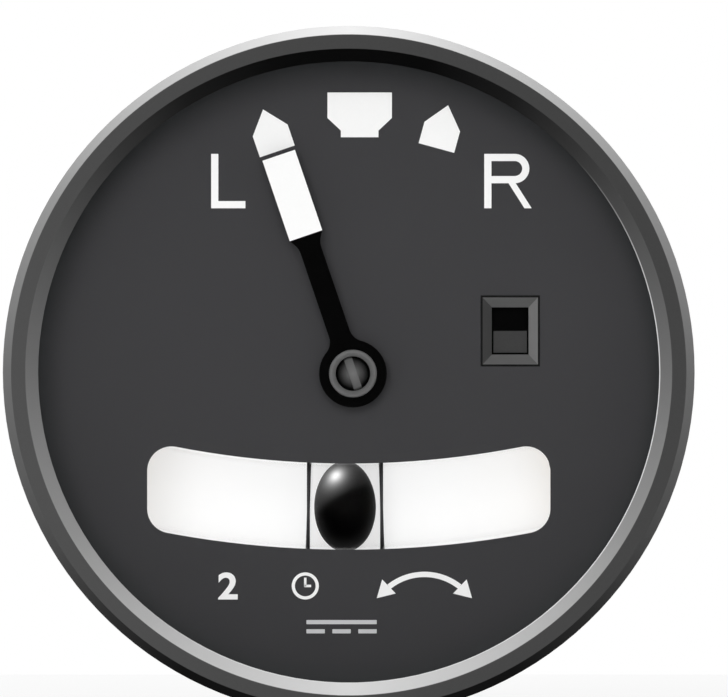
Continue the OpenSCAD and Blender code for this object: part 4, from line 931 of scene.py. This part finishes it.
one_vertex((THREAD_R * MM, THREAD_START * MM, 0))
for out, on in ((RIDGE_H, FLANK), (0, CREST), (-RIDGE_H, FLANK), (0, -2 * FLANK - CREST)):
    bpy.ops.mesh.extrude_region_move(TRANSFORM_OT_translate={"value": (out * MM, on * MM, 0)})
close_up()
thread = named("receptacle_thread")
winding = thread.modifiers.new("winding", "SCREW")
winding.axis = "Y"
winding.angle = 2 * math.pi
winding.screw_offset = THREAD_PITCH * MM
winding.iterations = THREAD_TURNS
winding.steps = winding.render_steps = 48
bpy.ops.object.modifier_apply(modifier=winding.name)
bpy.ops.object.mode_set(mode="EDIT")
bpy.ops.mesh.select_all(action="SELECT")
bpy.ops.mesh.remove_doubles(threshold=WELD)
bpy.ops.mesh.fill_holes(sides=0)
close_up()
bpy.ops.object.shade_smooth_by_angle(angle=SMOOTH_UNDER)
paint(thread, steel)
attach(thread, "case")
print("thread:", corners(thread))

# %% [markdown]
# ## The centring spring
# A wound spring pulls the gimbal back to its middle. Its wire is a small circle: wound round the spring's
# axis for the coil, and spun a little more than half round at each end for a hook. It is made upright at
# the origin, then leaned and moved to its pin.

# %% Spring
PIN_X, PIN_Y, PIN_Z = 2.30265, 72.2, 9.72602
SPRING_LEAN, SPRING_LENGTH, SPRING_SEAT = math.radians(-6.81943), 13.8814, 1.0
COIL_R, WIRE_R, TURNS = 1.6, 0.2, 9
HOOK_TURN = math.radians(200)
coil_start, coil_end = COIL_R + WIRE_R, SPRING_LENGTH - COIL_R - WIRE_R


def wire_circle(name, high):
    start_clean()
    bpy.ops.mesh.primitive_circle_add(vertices=12, radius=WIRE_R * MM, rotation=(math.pi / 2, 0, 0),
                                      location=(COIL_R * MM, 0, high * MM))
    bpy.ops.object.transform_apply(location=True, rotation=True, scale=True)
    return named(name)


coil = wire_circle("coil", coil_start)
winding = coil.modifiers.new("winding", "SCREW")
winding.angle = 2 * math.pi
winding.screw_offset = (coil_end - coil_start) / TURNS * MM
winding.iterations = TURNS
winding.steps = winding.render_steps = 32
bpy.ops.object.modifier_apply(modifier=winding.name)
hooks = []
for high, way in ((coil_start, 1), (coil_end, -1)):
    start_clean()
    bpy.ops.mesh.primitive_circle_add(vertices=12, radius=WIRE_R * MM, location=(COIL_R * MM, 0, high * MM))
    bpy.ops.object.transform_apply(location=True, rotation=True, scale=True)
    bpy.ops.object.mode_set(mode="EDIT")
    bpy.ops.mesh.select_all(action="SELECT")
    bpy.ops.mesh.spin(steps=24, angle=HOOK_TURN, center=(0, 0, high * MM), axis=(0, -way, 0))
    bpy.ops.object.mode_set(mode="OBJECT")
    hooks.append(named("hook"))
spring = joined("wound_spring", [coil] + hooks, steel)
print("spring upright:", corners(spring))

# %% [markdown]
# The coil and its hooks are open tubes so far. Their ends are filled and the wire is smoothed while the
# spring still stands upright, because the axes are simple there. Only then is it leaned over and moved,
# and that move is applied, so that the finished spring has its place in its mesh.

# %% Close the wire's ends and set the spring in place
WIRE_SMOOTH_UNDER = math.radians(50)


def on_spring(high):
    out = SPRING_SEAT + high
    across, up = PIN_X + out * math.sin(SPRING_LEAN), PIN_Z + out * math.cos(SPRING_LEAN)
    return (across * MM, PIN_Y * MM, up * MM)


bpy.ops.object.mode_set(mode="EDIT")
bpy.ops.mesh.select_all(action="SELECT")
bpy.ops.mesh.fill_holes(sides=0)
close_up()
bpy.ops.object.shade_smooth_by_angle(angle=WIRE_SMOOTH_UNDER)
spring.rotation_euler = (0, SPRING_LEAN, 0)
spring.location = on_spring(0.0)
bpy.ops.object.transform_apply(location=True, rotation=True, scale=True)
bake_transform(spring)
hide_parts("centring_spring")
print("spring:", corners(spring))

# %% [markdown]
# ## The leads
# Three sleeved leads run from the receptacle's contacts to the terminal board, each in one easy bend. A
# Bezier curve with a round bevel is the natural tool, and it is turned into a mesh once it lies right.

# %% Leads
CONTACT_RING_R, TAIL_Y = 3.2, 98.5
LUG_STEP, LUG_Y, LUG_Z = 8.0, 95.1, 20.0
LEAD_R, LEAD_REACH = 0.5, 2.5

leads = []
for degrees, lug_place in ((210, -1), (90, 0), (330, 1)):
    angle = math.radians(degrees)
    tail = (CONTACT_RING_R * math.cos(angle), TAIL_Y, CONTACT_RING_R * math.sin(angle))
    lug = (lug_place * LUG_STEP, LUG_Y, LUG_Z)
    start_clean()
    bpy.ops.curve.primitive_bezier_curve_add()
    lead = bpy.context.object
    lead.data.bevel_depth = LEAD_R * MM
    lead.data.bevel_resolution = 3
    lead.data.resolution_u = 20
    lead.data.use_fill_caps = True
    start, end = lead.data.splines[0].bezier_points
    for point, spot, lift in ((start, tail, -LEAD_REACH), (end, lug, LEAD_REACH)):
        point.handle_left_type = point.handle_right_type = "FREE"
        point.co = [v * MM for v in spot]
        point.handle_left = point.handle_right = (spot[0] * MM, (spot[1] + lift) * MM, spot[2] * MM)
    bpy.ops.object.convert(target="MESH")
    leads.append(bpy.context.object)
sleeved_leads = joined("sleeved_leads", leads, sleeving)
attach(sleeved_leads, "case")
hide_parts("lead_wires")

# %% [markdown]
# ## The floor
# The background of the photograph is plain white. The floor is a pale sheet with rounded corners, and to
# the camera, to what shines and to what lets light through it is nearly white. The rest of it is plain
# paint that the lamps light, so it keeps a soft shadow of the instrument.

# %% Floor
FLOOR_SIZE, FLOOR_CORNER, FLOOR_BACK, FLOOR_GAP = 0.7, 0.1, 0.05, 0.0001
FLOOR_GLOW = 0.75
WATCHING = ("Is Camera Ray", "Is Glossy Ray", "Is Transmission Ray")

start_clean()
bpy.ops.mesh.primitive_plane_add(size=FLOOR_SIZE, location=(0, FLOOR_BACK, cad_box[0][2] - FLOOR_GAP))
bpy.ops.object.transform_apply(location=True, rotation=True, scale=True)
bpy.ops.object.mode_set(mode="EDIT")
bpy.ops.mesh.select_all(action="SELECT")
bpy.ops.mesh.bevel(offset=FLOOR_CORNER, segments=8, affect="VERTICES")
bpy.ops.object.mode_set(mode="OBJECT")
floor = named("floor")
floor_white, place = begin_finish("floor_white")
fine = grain(place, 1.5)
plain = place.node("ShaderNodeBsdfPrincipled", {}, {
    "Base Color": blend(fine, grey(0.8), grey(0.84)),
    "Roughness": 0.8,
})
shining = place.node("ShaderNodeEmission", {}, {"Color": grey(1.0), "Strength": 1.0})
watched = any_ray(place, WATCHING)
mixed = place.node("ShaderNodeMixShader", {}, {0: watched * FLOOR_GLOW, 1: plain, 2: shining})
place.node("ShaderNodeOutputMaterial", {}, {"Surface": mixed}, out=None)
paint(floor, floor_white)
print("floor at", round(floor.data.vertices[0].co.z / MM, 2), "mm")

# %% [markdown]
# ## The world
# The world is made the same way: white for the rays that see it, and a mild grey for the rest, so that
# the object isn't flooded with light. The mild grey fills the shadows from all sides, as the walls of a
# pale room do.

# %% World
world = bpy.data.worlds.new("studio")
bpy.context.scene.world = world
world.use_nodes = True
world.node_tree.nodes.clear()
sky = Signal(world.node_tree, world.node_tree.nodes.new("ShaderNodeLightPath").outputs["Is Camera Ray"])
watched = any_ray(sky, WATCHING)
dim = sky.node("ShaderNodeBackground", {}, {"Color": grey(1.0), "Strength": 0.4})
white = sky.node("ShaderNodeBackground", {}, {"Color": grey(1.0), "Strength": 1.0})
mixed = sky.node("ShaderNodeMixShader", {}, {0: watched, 1: dim, 2: white})
sky.node("ShaderNodeOutputWorld", {}, {"Surface": mixed}, out=None)
print("world set")

# %% [markdown]
# ## Lamps
# Two large soft lamps light the instrument. One stands in front, a little up and to the left, and lights
# the dial evenly. The other hangs above and behind, for the case and the rear cover. Their power is
# worked out from how bright a white surface that faces them should be.

# %% Soft lamps
def soft_lamp(name, place, size, level):
    reach = math.dist(place, (0, 0, 0))
    data = bpy.data.lights.new(name, "AREA")
    data.size = size
    data.energy = level * math.pi ** 2 * reach ** 2
    lamp = bpy.data.objects.new(name, data)
    lamp.location = place
    turn = math.atan2(-place[0], place[1])
    tilt = math.acos(place[2] / reach)
    lamp.rotation_euler = (-tilt, 0, turn)
    bpy.context.scene.collection.objects.link(lamp)
    print(name, round(data.energy, 2), "W")
    return lamp


FRONT_LAMP_AT, REAR_LAMP_AT = (-0.2, -2.0, 0.4), (-0.5, 1.0, 1.2)
front_lamp = soft_lamp("front_lamp", FRONT_LAMP_AT, size=1.5, level=0.7)
soft_lamp("rear_lamp", REAR_LAMP_AT, size=0.8, level=0.5)

# %% [markdown]
# The ball lies behind the dial, where a large lamp in front makes it look grey and flat. A photographer
# would keep that lamp off it and give it a small one of its own, here high on the left and somewhat
# behind it. Its place follows from where the highlight lies on the ball: there the surface faces halfway
# between the lamp and the camera. Light linking does the rest: the front lamp leaves the ball out, and
# the ball lamp shines on the ball alone, without a shadow from the dial.

# %% Ball lamp
BALL_LAMP_AT = (-0.41, 0.31, 0.86)

ball = nodes["slip_ball"]
ball_only, all_but_ball = (bpy.data.collections.new(name) for name in ("ball_only", "all_but_ball"))
for group in (ball_only, all_but_ball):
    group.objects.link(ball)
all_but_ball.collection_objects[0].light_linking.link_state = "EXCLUDE"
shading = bpy.data.collections.new("shades_ball_lamp")
shading.objects.link(floor)
ball_lamp = soft_lamp("ball_lamp", BALL_LAMP_AT, size=0.15, level=46.0)
ball_lamp.light_linking.receiver_collection = ball_only
ball_lamp.light_linking.blocker_collection = shading
front_lamp.light_linking.receiver_collection = all_but_ball

# %% [markdown]
# ## Finish
# The picture keeps Blender's plain colour transform, so that a colour comes out about as it is written.

# %% Finish
bpy.context.scene.view_settings.view_transform = "Standard"
